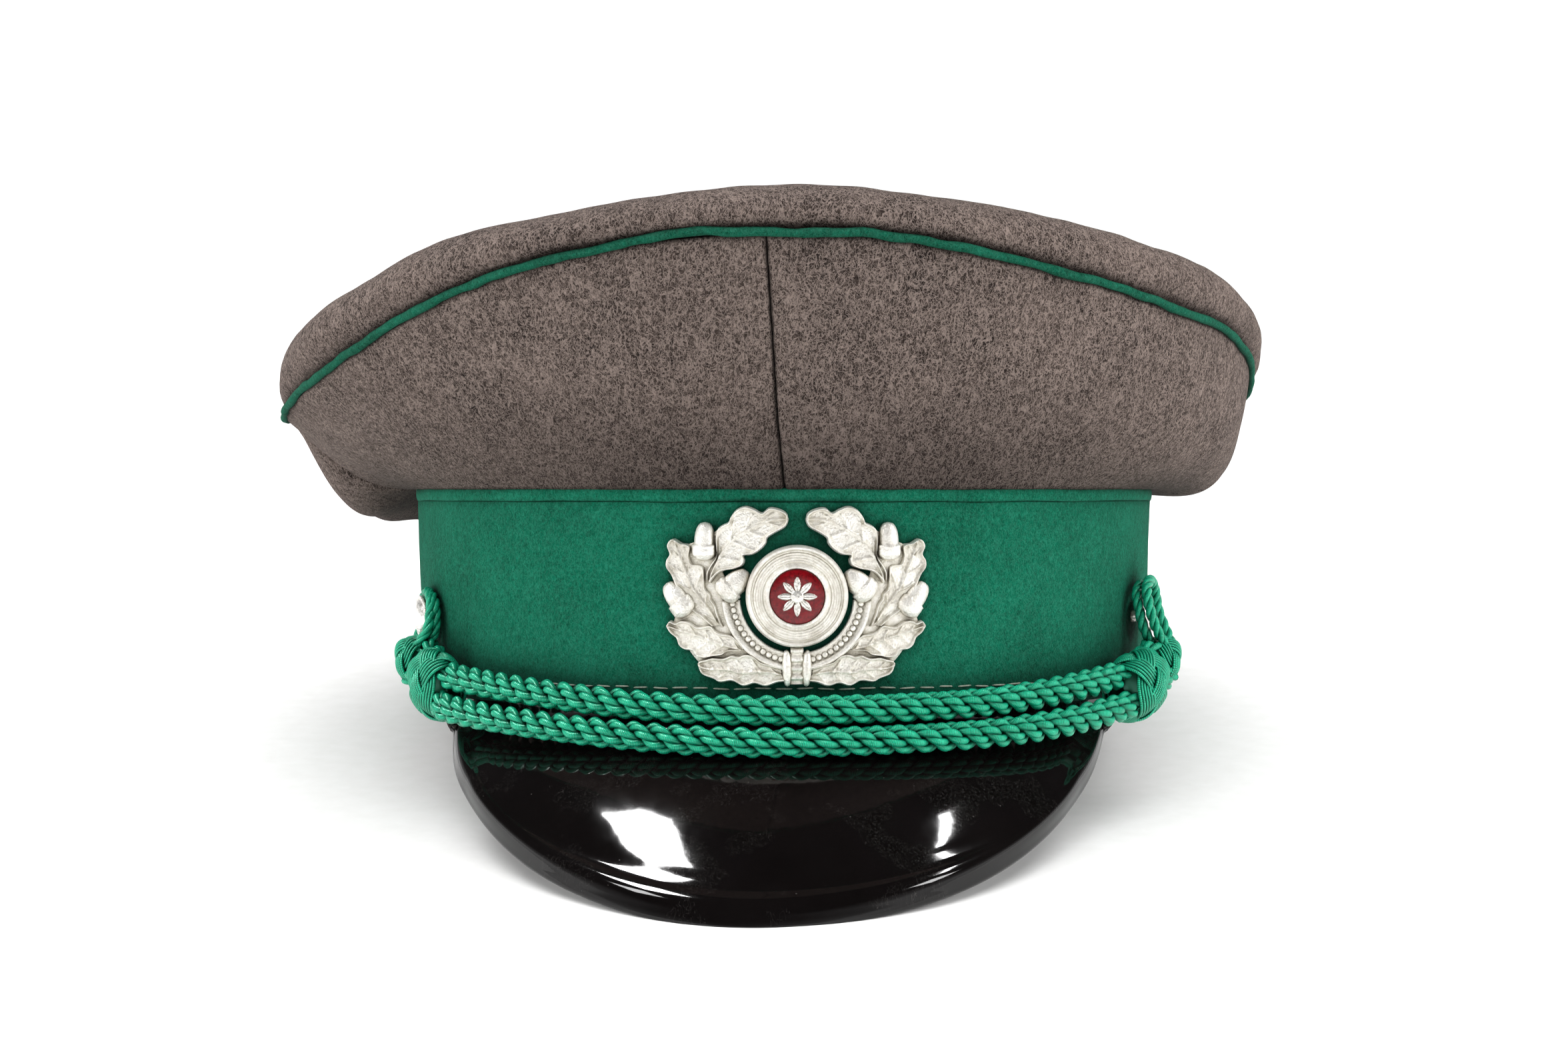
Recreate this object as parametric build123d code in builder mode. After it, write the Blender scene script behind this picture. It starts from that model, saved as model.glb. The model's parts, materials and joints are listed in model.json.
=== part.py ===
from build123d import *
from math import atan2, cos, degrees, hypot, radians, sin, sqrt
import os

# Peaked service cap, size 58, in millimetres.
# The cap is drawn level: the band stands on Z = 0 with its centre on the Z axis, the front faces -Y
# and +Z is up. At the end every piece is tipped nose-up until the cap rests on the visor's lip and
# on the back of the band, and is moved so that its box stands centred on the origin.

# --- driving dimensions -------------------------------------------------------------------------
band_height = 50.0
band_half_width = 90.0          # outer face of the band cloth at its lower edge
band_half_length = 101.5
band_flare = 2.0                # how much wider the band is on each side at its upper edge
cloth = 2.0                     # wool melton, folded edges included
gap = 0.15                      # daylight between neighbouring layers

# depths of the band's layers, measured inwards from the outer face of the cloth
stiffener_depth = cloth + gap
stiffener_thickness = 1.0
sweatband_depth = 4.8
sweatband_thickness = 1.2
sweatband_low, sweatband_high = 0.8, 42.0
flange_height = 3.0             # the visor's sewing flange, up behind the band cloth
welt_proud = 0.9                # fold of cloth standing out along the band's upper edge
welt_height = 3.2

# crown: an oval rim, high at the front and level behind
rim_half_width = 124.0
rim_half_length = 134.5
rim_centre = 3.0                # the rim's centre lies this far behind the band's
side_rise = 21.0                # rim above the band's upper edge at the sides and back
saddle_radius = 272.0           # curve of the rim towards the raised front
piping_half = 1.3
roll_height = 10.5              # top edge of the crown above the middle of the piping
# how far the side cloth bellies out, by the angle round the cap from the front towards +X
bulges = {0: 2.2, 22.5: 2.6, 45: 4.0, 67.5: 7.0, 90: 9.0, 112.5: 9.0, 135: 8.5, 157.5: 8.0, 180: 8.0,
          202.5: 9.5, 225: 11.0, 247.5: 9.0, 270: 4.6, 292.5: 3.8, 315: 3.2, 337.5: 2.6, 360: 2.2}

# inside of the crown, as distances in from the rim's oval and heights above the piping
padding_outset, padding_inset, padding_low, padding_high = -4.2, 10.0, -0.6, 4.0
hoop_outset, hoop_inset, hoop_low, hoop_high = -6.0, 7.2, -4.6, -0.9
stay_half_width, stay_thickness = 12.0, 1.0
lining_sheet = 0.6
lining_rings = ((44, 85.6, 97.2), (53.5, 87.0, 98.6), (68, 110.0, 106.0), (104, 113.0, 122.0))
lining_top_level = -5.9         # the lining's flat top hangs this far from the piping's middle
shield_reach = 48.0             # half diagonal of the clear shield over the lining
shield_sheet = 0.3

# visor
visor_span = 59.4               # degrees each side of the front, on the band's oval
visor_reach = 39.5
visor_drop = 43.0
visor_root = 6.2                # the visor leaves the band this far below its lower edge
visor_thickness = 1.8
visor_bulge = 2.2

# chin cord: two strands side by side on a sloping plane, from side arc to side arc
strand_radius = 3.0
strand_spread = 3.3             # each strand's height above and below the cord's plane
strand_step = 3.3               # how much further out the lower strand lies
cord_half_width = 98.0
cord_half_length = 106.3
cord_end_radius = 89.0
cord_slope = 7.2                # degrees, rising to the back
cord_level = 10.3               # height of the cord's plane on the Z axis
cord_end_angle = 23.4           # where the strands end, inside the small knots
knot_angle = 31.2               # middle of the big sliding knots, on the side arcs
knot_half_angle = 4.1
knot_wall = 2.0
knot_clearance = 0.35
small_knot_angle = 23.4
small_knot_half_angle = 2.4
small_knot_size = (5.0, 5.4)    # half thickness and half height
small_knot_shift = 0.6          # in towards the wall, and up

# side buttons
button_angle = 67.9             # on the band's oval, degrees from the front
button_height = 19.0
button_radius = 7.5
button_thickness = 2.8
button_edge = 2.3               # rounding of the button's face
button_stand_off = 3.9          # underside of the button's head above the wall
shank_radius = 1.5
shank_inside = 3.1              # how far the shank reaches in past the wall's outer face
loop_radius = 6.2
loop_tube = 1.55
pin_half_length = 6.0
washer_radius = 4.5

# badge
badge_angle = 1.8
badge_height = 25.8
cockade_radius = 11.5
cockade_back, cockade_front = 0.5, 2.8
enamel_radius = 6.2
enamel_back, enamel_front = 2.5, 3.0
rosette_petals = 8
wreath_thickness = 2.0
wreath_back = 0.4
prong_width, prong_sheet, prong_inside = 3.0, 0.5, 4.35
prong_spots = [(-9, -2), (9, -2)]


def on_oval(half_width, half_length, angle, centre=0.0):
    """Point of an oval, with the angle in degrees from the front towards +X."""
    turn = radians(angle)
    return (half_width * sin(turn), centre - half_length * cos(turn))


def saddle_height(y):
    """Height of the middle of the piping at a given Y."""
    lift = saddle_radius - sqrt(saddle_radius**2 - min(y, 0.0)**2)
    return band_height + side_rise + lift


def wall_plane(angle, height):
    """Plane lying on the band's outer face: X along the band, Y up the wall, Z straight out."""
    spread = band_flare * height / band_height
    half_width = band_half_width + spread
    half_length = band_half_length + spread
    x, y = on_oval(half_width, half_length, angle)
    turn = radians(angle)
    out = Vector(half_length * sin(turn), -half_width * cos(turn), 0).normalized()
    lean = atan2(band_flare, band_height)
    normal = out * cos(lean) - Vector(0, 0, sin(lean))
    along = Vector(half_width * cos(turn), half_length * sin(turn), 0)
    return Plane(origin=(x, y, height), x_dir=along, z_dir=normal)


def band_layer(depth, thickness, low, high):
    """Strip of constant thickness round the whole band."""
    with BuildPart() as layer:
        for inset, mode in ((depth, Mode.ADD), (depth + thickness, Mode.SUBTRACT)):
            for height in (low, high):
                spread = band_flare * height / band_height - inset
                with BuildSketch(Plane.XY.offset(height)):
                    Ellipse(band_half_width + spread, band_half_length + spread)
            loft(ruled=True, mode=mode)
    return layer


def saddle_slab(low, high):
    """Sheet that follows the rim's curve, between two heights above the middle of the piping."""
    front, half, back = -150.0, -75.0, 150.0
    with BuildPart() as slab:
        with BuildSketch(Plane.YZ):
            with BuildLine():
                for rise in (low, high):
                    level = saddle_height(0) + rise
                    ThreePointArc(
                        (front, saddle_height(front) + rise),
                        (half, saddle_height(half) + rise),
                        (0, level),
                    )
                    Line((0, level), (back, level))
                for y in (front, back):
                    Line((y, saddle_height(y) + low), (y, saddle_height(y) + high))
            make_face()
        extrude(amount=150, both=True)
    return slab


def rim_prism(inset, low=0.0, high=150.0):
    """Upright prism over the rim's oval."""
    with BuildPart() as prism:
        with BuildSketch(Plane.XY.offset(low)):
            with Locations((0, rim_centre)):
                Ellipse(rim_half_width - inset, rim_half_length - inset)
        extrude(amount=high - low)
    return prism


def rim_ring(outset, inset, low, high):
    """Band-shaped ring that follows the rim, between two heights above the piping."""
    with BuildPart() as ring:
        add(rim_prism(-outset).part)
        add(rim_prism(inset).part, mode=Mode.SUBTRACT)
        add(saddle_slab(low, high).part, mode=Mode.INTERSECT)
    return ring


def side_panel(first, last):
    """Quarter of the crown's side, from the band's upper edge out to the piping."""
    with BuildPart() as panel:
        for angle, bulge in bulges.items():
            if not first <= angle <= last:
                continue
            start = Vector(*on_oval(band_half_width + band_flare, band_half_length + band_flare, angle))
            end = Vector(*on_oval(rim_half_width, rim_half_length, angle, rim_centre))
            reach = (end - start).length
            rise = saddle_height(end.Y) - band_height - piping_half - 0.2
            chord = hypot(reach, rise)
            inward = Vector(-rise, reach) * (1 / chord)
            low = Vector(welt_proud + 0.2, 0.2)
            high = Vector(reach, rise)
            middle = (low + high) * 0.5 - inward * bulge
            inner_end = end - (end - start).normalized() * cloth
            inner_high = Vector(reach - cloth, rise + saddle_height(inner_end.Y) - saddle_height(end.Y))
            section = Plane(origin=(start.X, start.Y, band_height), x_dir=end - start,
                            z_dir=(end - start).cross(Vector(0, 0, 1)))
            with BuildSketch(section):
                with BuildLine():
                    ThreePointArc(low, middle, high)
                    Line(high, inner_high)
                    ThreePointArc(inner_high, middle + inward * cloth, low + inward * cloth)
                    Line(low + inward * cloth, low)
                make_face()
        loft()
    return panel


pieces = {}

# --- band ---------------------------------------------------------------------------------------
badge_wall = wall_plane(badge_angle, badge_height)
button_walls = {"right": wall_plane(button_angle, button_height),
                "left": wall_plane(-button_angle, button_height)}

with BuildPart() as wall_holes:
    with BuildSketch(badge_wall.offset(-8)):
        with Locations(*prong_spots):
            Rectangle(prong_width + 0.4, prong_sheet + 0.4)
    extrude(amount=12)
    for wall in button_walls.values():
        with BuildSketch(wall.offset(-3.9)):
            Circle(shank_radius + 0.1)
        extrude(amount=8)

with BuildPart() as band_cover:
    add(band_layer(0, cloth, 0, band_height).part)
    add(wall_holes.part, mode=Mode.SUBTRACT)
pieces["band_cover"] = band_cover

with BuildPart() as band_stiffener:
    add(band_layer(stiffener_depth, stiffener_thickness, flange_height + 0.8, band_height - 0.6).part)
    add(wall_holes.part, mode=Mode.SUBTRACT)
pieces["band_stiffener"] = band_stiffener

pieces["band_welt"] = band_layer(-welt_proud, welt_proud - 0.05, band_height - welt_height, band_height)
pieces["sweatband"] = band_layer(sweatband_depth, sweatband_thickness, sweatband_low, sweatband_high)

# --- visor --------------------------------------------------------------------------------------
def visor_section(angle):
    """Upper and lower curve of the visor at one place round the band: (outwards, up) pairs."""
    fade = cos(radians(90 * angle / visor_span))
    reach = visor_reach * fade**1.25
    drop = 4 + (visor_drop - 4) * fade**0.95
    slope = Vector(reach, visor_root - drop)
    proud = Vector(-slope.Y, slope.X).normalized() * visor_bulge * reach / visor_reach
    upper = [Vector(-stiffener_depth, 0.5), Vector(-stiffener_depth * 0.8, -visor_root * 0.6)]
    for part in (0.06, 0.3, 0.55, 0.8, 1.0):
        belly = 4 * part * (1 - part)
        upper.append(Vector(0, -visor_root) + slope * part + proud * belly)
    return upper


def thickened(curve, thickness):
    """The curve moved to its inner side, square to itself."""
    moved = []
    for index, point in enumerate(curve):
        before = curve[max(index - 1, 0)]
        after = curve[min(index + 1, len(curve) - 1)]
        along = (after - before).normalized()
        moved.append(point + Vector(along.Y, -along.X) * thickness)
    return moved


visor_stations = [-56, -48, -38, -26, -13, 0, 13, 26, 38, 48, 56]
with BuildPart() as visor:
    for angle in visor_stations:
        x, y = on_oval(band_half_width, band_half_length, angle)
        turn = radians(angle)
        out = Vector(band_half_length * sin(turn), -band_half_width * cos(turn), 0)
        upper = visor_section(angle)
        lower = thickened(upper, visor_thickness)
        lower[0] = upper[0] + Vector(-stiffener_thickness, 0)
        flange_top = flange_height - 0.5
        with BuildSketch(Plane(origin=(x, y, 0), x_dir=out, z_dir=out.cross(Vector(0, 0, 1)))):
            with BuildLine():
                Spline(*upper)
                Line(upper[-1], lower[-1])
                Spline(*lower)
                Line(lower[0], lower[0] + Vector(0, flange_top))
                Line(lower[0] + Vector(0, flange_top), upper[0] + Vector(0, flange_top))
                Line(upper[0] + Vector(0, flange_top), upper[0])
            make_face()
    loft()
pieces["visor"] = visor

# --- crown --------------------------------------------------------------------------------------
def crown_block(inset, low, high, rounding):
    """Solid top of the crown with a rolled upper edge."""
    with BuildPart() as block:
        add(rim_prism(inset).part)
        add(saddle_slab(low, high).part, mode=Mode.INTERSECT)
        top_edges = block.edges().filter_by(lambda edge: edge.center().Z > saddle_height(edge.center().Y)
                                            + (low + high) / 2)
        fillet(top_edges, rounding)
    return block


with BuildPart() as crown_top:
    add(crown_block(0, piping_half + 0.1, roll_height, 8.0).part)
    add(crown_block(cloth, -2, roll_height - cloth, 6.0).part, mode=Mode.SUBTRACT)
pieces["crown_top"] = crown_top

pieces["crown_piping"] = rim_ring(0.9, cloth + 0.4, -piping_half, piping_half)

for quarter, name in enumerate(("front_right", "rear_right", "rear_left", "front_left")):
    pieces[f"crown_side_{name}"] = side_panel(90 * quarter, 90 * quarter + 90)

pieces["rim_padding"] = rim_ring(padding_outset, padding_inset, padding_low, padding_high)
pieces["crown_hoop"] = rim_ring(hoop_outset, hoop_inset, hoop_low, hoop_high)

with BuildPart() as front_stay:
    foot = Vector(-(band_half_length + band_flare - cloth - 1.2), band_height + 1.8)
    top_y = rim_centre - rim_half_length + cloth + 5.5
    head = Vector(top_y, saddle_height(top_y) - 6)
    thickness = Vector(stay_thickness, 0)
    with BuildSketch(Plane.YZ):
        Polygon(foot, head, head + thickness, foot + thickness, align=None)
    extrude(amount=stay_half_width, both=True)
pieces["front_stay"] = front_stay


def lining_form(inset):
    """Room inside the lining, before its top is cut to the crown's curve."""
    with BuildPart() as form:
        for height, half_width, half_length in lining_rings:
            with BuildSketch(Plane.XY.offset(height)):
                Ellipse(half_width - inset, half_length - inset)
        loft(ruled=True)
    return form


with BuildPart() as lining_side:
    add(lining_form(0).part)
    add(lining_form(lining_sheet).part, mode=Mode.SUBTRACT)
    add(saddle_slab(-60, lining_top_level - 0.1).part, mode=Mode.INTERSECT)
pieces["lining_side"] = lining_side

with BuildPart() as lining_top:
    add(lining_form(0).part)
    add(saddle_slab(lining_top_level, lining_top_level + lining_sheet).part, mode=Mode.INTERSECT)
pieces["lining_top"] = lining_top

with BuildPart() as sweat_shield:
    with BuildSketch():
        RegularPolygon(shield_reach, 4)
    extrude(amount=150)
    shield_level = lining_top_level - 0.2
    add(saddle_slab(shield_level - shield_sheet, shield_level).part, mode=Mode.INTERSECT)
pieces["sweat_shield"] = sweat_shield

# --- badge --------------------------------------------------------------------------------------
# Leaves as (middle x, middle y, half length, half width, turn in degrees), left half only.
leaf_shapes = [
    (-10.5, 11.8, 11.2, 5.2, 41),
    (-24.0, 5.6, 9.0, 4.6, -64),
    (-21.4, -9.6, 9.2, 4.2, -16),
    (-12.0, -16.4, 10.2, 3.6, -3),
    (-20.6, 12.2, 4.4, 2.5, 88),
    (-27.0, -0.8, 4.6, 2.6, -44),
    (-13.6, 3.0, 3.6, 2.7, 44),
]
wall_curve = (band_half_width + 1)**2 / (band_half_length + 1)
with BuildPart() as badge_wreath:
    with BuildSketch(badge_wall.offset(-9)):
        for x, y, half_length, half_width, turn in leaf_shapes:
            for side in (1, -1):
                with Locations(Location((side * x, y), side * turn)):
                    Ellipse(half_length, half_width)
        with BuildSketch(mode=Mode.PRIVATE) as stem:
            Circle(16.6)
            Circle(13.5, mode=Mode.SUBTRACT)
            with Locations((0, 15)):
                Rectangle(40, 26, mode=Mode.SUBTRACT)
        add(stem.sketch)
        with Locations((0, -15.6)):
            Rectangle(4.4, 8)
        Circle(cockade_radius + 0.15, mode=Mode.SUBTRACT)
    extrude(amount=16)
    shell_plane = Plane(origin=badge_wall.origin - badge_wall.y_dir * 30, x_dir=badge_wall.x_dir,
                        z_dir=badge_wall.y_dir)
    with BuildSketch(shell_plane):
        with Locations((0, wall_curve)):
            Circle(wall_curve + wreath_back + wreath_thickness)
            Circle(wall_curve + wreath_back, mode=Mode.SUBTRACT)
    extrude(amount=60, mode=Mode.INTERSECT)
pieces["badge_wreath"] = badge_wreath

with BuildPart() as badge_cockade:
    with BuildSketch(badge_wall.offset(cockade_back)):
        Circle(cockade_radius)
    extrude(amount=cockade_front - cockade_back)
    fillet(badge_cockade.faces().sort_by(Axis.Y)[0].edges(), 1.2)
    with BuildSketch(badge_wall.offset(cockade_front)):
        Circle(enamel_radius + 1.0)
    extrude(amount=0.5)
    with BuildSketch(badge_wall.offset(enamel_back)):
        Circle(enamel_radius)
    extrude(amount=2, mode=Mode.SUBTRACT)
pieces["badge_cockade"] = badge_cockade

with BuildPart() as badge_enamel:
    with BuildSketch(badge_wall.offset(enamel_back)):
        Circle(enamel_radius - 0.05)
    extrude(amount=enamel_front - enamel_back)
pieces["badge_enamel"] = badge_enamel

with BuildPart() as badge_rosette:
    with BuildSketch(badge_wall.offset(enamel_front)):
        Circle(1.6)
        with PolarLocations(2.6, rosette_petals):
            Ellipse(1.7, 0.8)
    extrude(amount=0.4)
pieces["badge_rosette"] = badge_rosette

with BuildPart() as badge_prongs:
    for x, y in prong_spots:
        tip_plane = badge_wall.offset(-x**2 / (2 * wall_curve) - prong_inside)
        with BuildSketch(tip_plane):
            with Locations((x, y)):
                Rectangle(prong_width, prong_sheet)
        extrude(amount=prong_inside + 0.3)
        with BuildSketch(tip_plane):
            with Locations((x, y + 4)):
                Rectangle(prong_width, 8)
        extrude(amount=0.45)
pieces["badge_prongs"] = badge_prongs

# --- chin cord ----------------------------------------------------------------------------------
slope = radians(cord_slope)
cord_plane = Plane(origin=(0, 0, cord_level), x_dir=(1, 0, 0), z_dir=(0, -sin(slope), cos(slope)))
end_centre = cord_half_length - cord_end_radius
side_arc_radius = (end_centre**2 + cord_half_width**2 - cord_end_radius**2) / (
    2 * (cord_half_width - cord_end_radius))
side_centre = side_arc_radius - cord_half_width
meet_angle = degrees(atan2(end_centre, side_centre))   # where side arc and front arc meet


def cord_strand(radius_step, level):
    """One strand: side arc, front arc and side arc, all touching without a corner."""
    def side_point(angle, side):
        radius = side_arc_radius + radius_step
        return (side * (radius * cos(radians(angle)) - side_centre), -radius * sin(radians(angle)))

    path_plane = cord_plane.offset(level)
    with BuildPart() as strand:
        with BuildLine(path_plane) as path:
            ThreePointArc(side_point(cord_end_angle, -1),
                          side_point((cord_end_angle + meet_angle) / 2, -1),
                          side_point(meet_angle, -1))
            ThreePointArc(side_point(meet_angle, -1), (0, -(cord_half_length + radius_step)),
                          side_point(meet_angle, 1))
            ThreePointArc(side_point(meet_angle, 1),
                          side_point((cord_end_angle + meet_angle) / 2, 1),
                          side_point(cord_end_angle, 1))
        with BuildSketch(Plane(origin=path.line @ 0, z_dir=path.line % 0)):
            Circle(strand_radius)
        sweep(path=path.line)
    return strand


pieces["cord_upper"] = cord_strand(0, strand_spread)
pieces["cord_lower"] = cord_strand(strand_step, -strand_spread)

bundle_radius = side_arc_radius + strand_step / 2


def side_arc_plane(angle, side):
    """Plane across the cord at one angle of a side arc: X straight out, Y up."""
    turn = radians(angle)
    direction = cord_plane.from_local_coords(Vector(side * cos(turn), -sin(turn), 0)) - cord_plane.origin
    centre = cord_plane.from_local_coords(Vector(-side * side_centre, 0, 0))
    return Plane(origin=centre, x_dir=direction, z_dir=direction.cross(cord_plane.z_dir))


for side, name in ((1, "right"), (-1, "left")):
    axis_point = cord_plane.from_local_coords(Vector(-side * side_centre, 0, 0))
    knot_axis = Axis(axis_point, cord_plane.z_dir)
    with BuildPart() as slide_knot:
        with BuildSketch(side_arc_plane(knot_angle + side * knot_half_angle, side)):
            with Locations((bundle_radius, 0)):
                Ellipse(strand_step / 2 + strand_radius + knot_wall,
                        strand_spread + strand_radius + knot_wall)
            with Locations((bundle_radius - strand_step / 2, strand_spread),
                           (bundle_radius + strand_step / 2, -strand_spread)):
                Circle(strand_radius + knot_clearance, mode=Mode.SUBTRACT)
        revolve(axis=knot_axis, revolution_arc=2 * knot_half_angle)
    pieces[f"slide_knot_{name}"] = slide_knot

    with BuildPart() as loop_knot:
        with BuildSketch(side_arc_plane(small_knot_angle + side * small_knot_half_angle, side)):
            with Locations((bundle_radius - small_knot_shift, small_knot_shift)):
                Ellipse(*small_knot_size)
        revolve(axis=knot_axis, revolution_arc=2 * small_knot_half_angle)
    pieces[f"loop_knot_{name}"] = loop_knot

    wall = button_walls[name]
    with BuildPart() as button_loop:
        ring_plane = Plane(origin=wall.offset(0.5 + loop_tube).origin, x_dir=wall.y_dir, z_dir=wall.x_dir)
        with BuildSketch(ring_plane):
            with Locations((loop_radius, 0)):
                Circle(loop_tube)
        revolve(axis=Axis(wall.origin, wall.z_dir), revolution_arc=360)
    pieces[f"button_loop_{name}"] = button_loop

    with BuildPart() as side_button:
        with BuildSketch(wall.offset(-shank_inside)):
            Circle(shank_radius)
        extrude(amount=shank_inside + button_stand_off + 0.1)
        with BuildSketch(wall.offset(button_stand_off)):
            Circle(button_radius)
        extrude(amount=button_thickness)
        outer_rim = side_button.faces().sort_by(Axis(wall.origin, wall.z_dir))[-1].edges()
        fillet(outer_rim, button_edge)
    pieces[f"side_button_{name}"] = side_button

    with BuildPart() as split_pin:
        with BuildSketch(wall.offset(-shank_inside - 1)):
            Rectangle(1.8, 2 * pin_half_length)
        extrude(amount=0.4)
        with BuildSketch(wall.offset(-shank_inside - 0.6)):
            Circle(0.8)
        extrude(amount=0.6)
    pieces[f"split_pin_{name}"] = split_pin

    with BuildPart() as pin_washer:
        with BuildSketch(wall.offset(-shank_inside - 0.55)):
            Circle(washer_radius)
            Circle(shank_radius + 0.15, mode=Mode.SUBTRACT)
        extrude(amount=0.3)
    pieces[f"pin_washer_{name}"] = pin_washer

# --- set the cap down on its table and write the pieces -------------------------------------------
rest_tilt = degrees(atan2(visor_drop + visor_thickness * 0.7, visor_reach + 2 * band_half_length))
tipped = Location((0, 0, 0), (-rest_tilt, 0, 0))
box = Compound([piece.part.moved(tipped) for piece in pieces.values()]).bounding_box()
at_rest = Location((-box.center().X, -box.center().Y, -box.min.Z)) * tipped

os.makedirs("parts", exist_ok=True)
for name, piece in pieces.items():
    piece.part.label = name
    export_step(piece.part.moved(at_rest), f"parts/{name}.step")


def rest_point(point):
    """Where a point of the level cap lies once the cap is set down, in millimetres."""
    return [round(value, 4) for value in (at_rest * Location(point)).position]


def rest_direction(direction):
    """Where a direction of the level cap points once the cap is set down."""
    start = (at_rest * Location((0, 0, 0))).position
    return [round(value, 6) for value in (at_rest * Location(direction)).position - start]


print("rest tilt", round(rest_tilt, 3), "size", box.size)
print("level origin", rest_point((0, 0, 0)))
print("cord swing, on the line through both buttons",
      rest_point((0, button_walls["right"].origin.Y, button_walls["right"].origin.Z)))
for side, name in ((1, "right"), (-1, "left")):
    print("button", name, rest_point(button_walls[name].origin), rest_direction(button_walls[name].z_dir))
    centre = cord_plane.from_local_coords(Vector(-side * side_centre, 0, 0))
    print("knot arc", name, rest_point(centre), rest_direction(cord_plane.z_dir))
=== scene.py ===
import json
from math import atan2, cos, hypot, pi, radians, sin, sqrt

import bmesh
import bpy
import numpy as np
from mathutils import Matrix, Vector


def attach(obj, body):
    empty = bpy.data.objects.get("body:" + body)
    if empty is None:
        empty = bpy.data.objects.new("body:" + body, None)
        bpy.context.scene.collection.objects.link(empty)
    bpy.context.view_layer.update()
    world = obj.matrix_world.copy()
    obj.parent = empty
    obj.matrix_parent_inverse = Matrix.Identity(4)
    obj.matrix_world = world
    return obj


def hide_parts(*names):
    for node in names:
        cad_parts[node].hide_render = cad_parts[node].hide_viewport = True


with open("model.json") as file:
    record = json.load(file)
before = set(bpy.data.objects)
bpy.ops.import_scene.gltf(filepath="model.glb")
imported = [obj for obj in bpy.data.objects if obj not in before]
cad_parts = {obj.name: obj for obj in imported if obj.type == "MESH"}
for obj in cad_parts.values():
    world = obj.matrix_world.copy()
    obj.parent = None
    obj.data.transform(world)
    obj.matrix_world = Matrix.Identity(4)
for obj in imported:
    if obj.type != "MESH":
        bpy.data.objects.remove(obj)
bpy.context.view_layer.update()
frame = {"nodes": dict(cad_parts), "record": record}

# The cap is modelled level, in millimetres: the band stands on Z = 0, the front faces -Y and +Z is up.
# to_row() sets it down in the frame, tipped nose-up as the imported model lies.
MM = 0.001
opening = next(m for m in frame["record"]["mounts"] if m["name"] == "head_opening")
ORIGIN = np.array(opening["pos_m"], float)
UP = -np.array(opening["axis"], float) / np.linalg.norm(opening["axis"])
SIDE = np.array((1.0, 0.0, 0.0))
BACK = np.cross(UP, SIDE)

# --- dimensions, as in the CAD source ------------------------------------------------------------
BAND_W, BAND_L, BAND_H, FLARE = 90.0, 101.5, 50.0, 2.0
RIM_W, RIM_L, RIM_Y, RIM_Z, SADDLE = 120.3, 134.5, 3.0, 71.0, 272.0
RIM_SHIFT, RIM_LEAN = -4.0, 2.4          # the crown sits a little to one side and leans
VISOR_SPAN, VISOR_REACH, VISOR_DROP, VISOR_ROOT = 59.4, 39.5, 43.0, 6.2
STRAND_SPREAD, STRAND_STEP = 3.3, 3.3
CORD_W, CORD_L, CORD_END_R, CORD_SLOPE, CORD_Z = 98.0, 106.3, 89.0, radians(7.2), 10.3
KNOT_ANGLE, SMALL_KNOT_ANGLE = 31.2, 23.4
BUTTON_ANGLE, BUTTON_Z = 67.9, 19.0
BADGE_ANGLE, BADGE_Z, COCKADE_R, ENAMEL_R = 1.8, 25.8, 11.5, 6.2
WALL_CURVE = (BAND_W + 1)**2 / (BAND_L + 1)


def to_row(points):
    points = np.asarray(points, float).reshape(-1, 3) * MM
    return ORIGIN + points @ np.stack([SIDE, BACK, UP])


def unit(v):
    v = np.asarray(v, float)
    return v / np.maximum(np.linalg.norm(v, axis=-1, keepdims=True), 1e-12)


def smooth_curve(points, count):
    """Points at even spacing along a smooth curve through the given points."""
    p = np.asarray(points, float)
    ends = np.vstack([2 * p[0] - p[1], p, 2 * p[-1] - p[-2]])
    fine = []
    for i in range(len(p) - 1):
        a, b, c, d = ends[i:i + 4]
        t = np.linspace(0, 1, 24, endpoint=False)[:, None]
        fine.append(0.5 * (2 * b + (c - a) * t + (2 * a - 5 * b + 4 * c - d) * t**2
                           + (3 * b - a - 3 * c + d) * t**3))
    fine = np.vstack(fine + [p[-1:]])
    length = np.r_[0, np.cumsum(np.linalg.norm(np.diff(fine, axis=0), axis=1))]
    at = np.linspace(0, length[-1], count)
    return np.stack([np.interp(at, length, fine[:, k]) for k in range(p.shape[1])], -1)


def waves(points, wavelength, seed, count=14):
    """Smooth deterministic field of about unit size, made of plane waves in many directions."""
    rng = np.random.default_rng(seed)
    points = np.asarray(points, float)
    total = np.zeros(points.shape[:-1])
    for _ in range(count):
        direction = unit(rng.normal(size=points.shape[-1]))
        length = wavelength * rng.uniform(0.7, 1.5)
        total += np.sin(points @ direction * 2 * pi / length + rng.uniform(0, 2 * pi))
    return total / sqrt(count)


def clamp(x):
    return np.clip(x, 0, 1)


def lifted(flat, height):
    """Level places with a height added to each."""
    return np.concatenate([flat, np.broadcast_to(height, flat.shape[:-1])[..., None]], -1)


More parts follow.
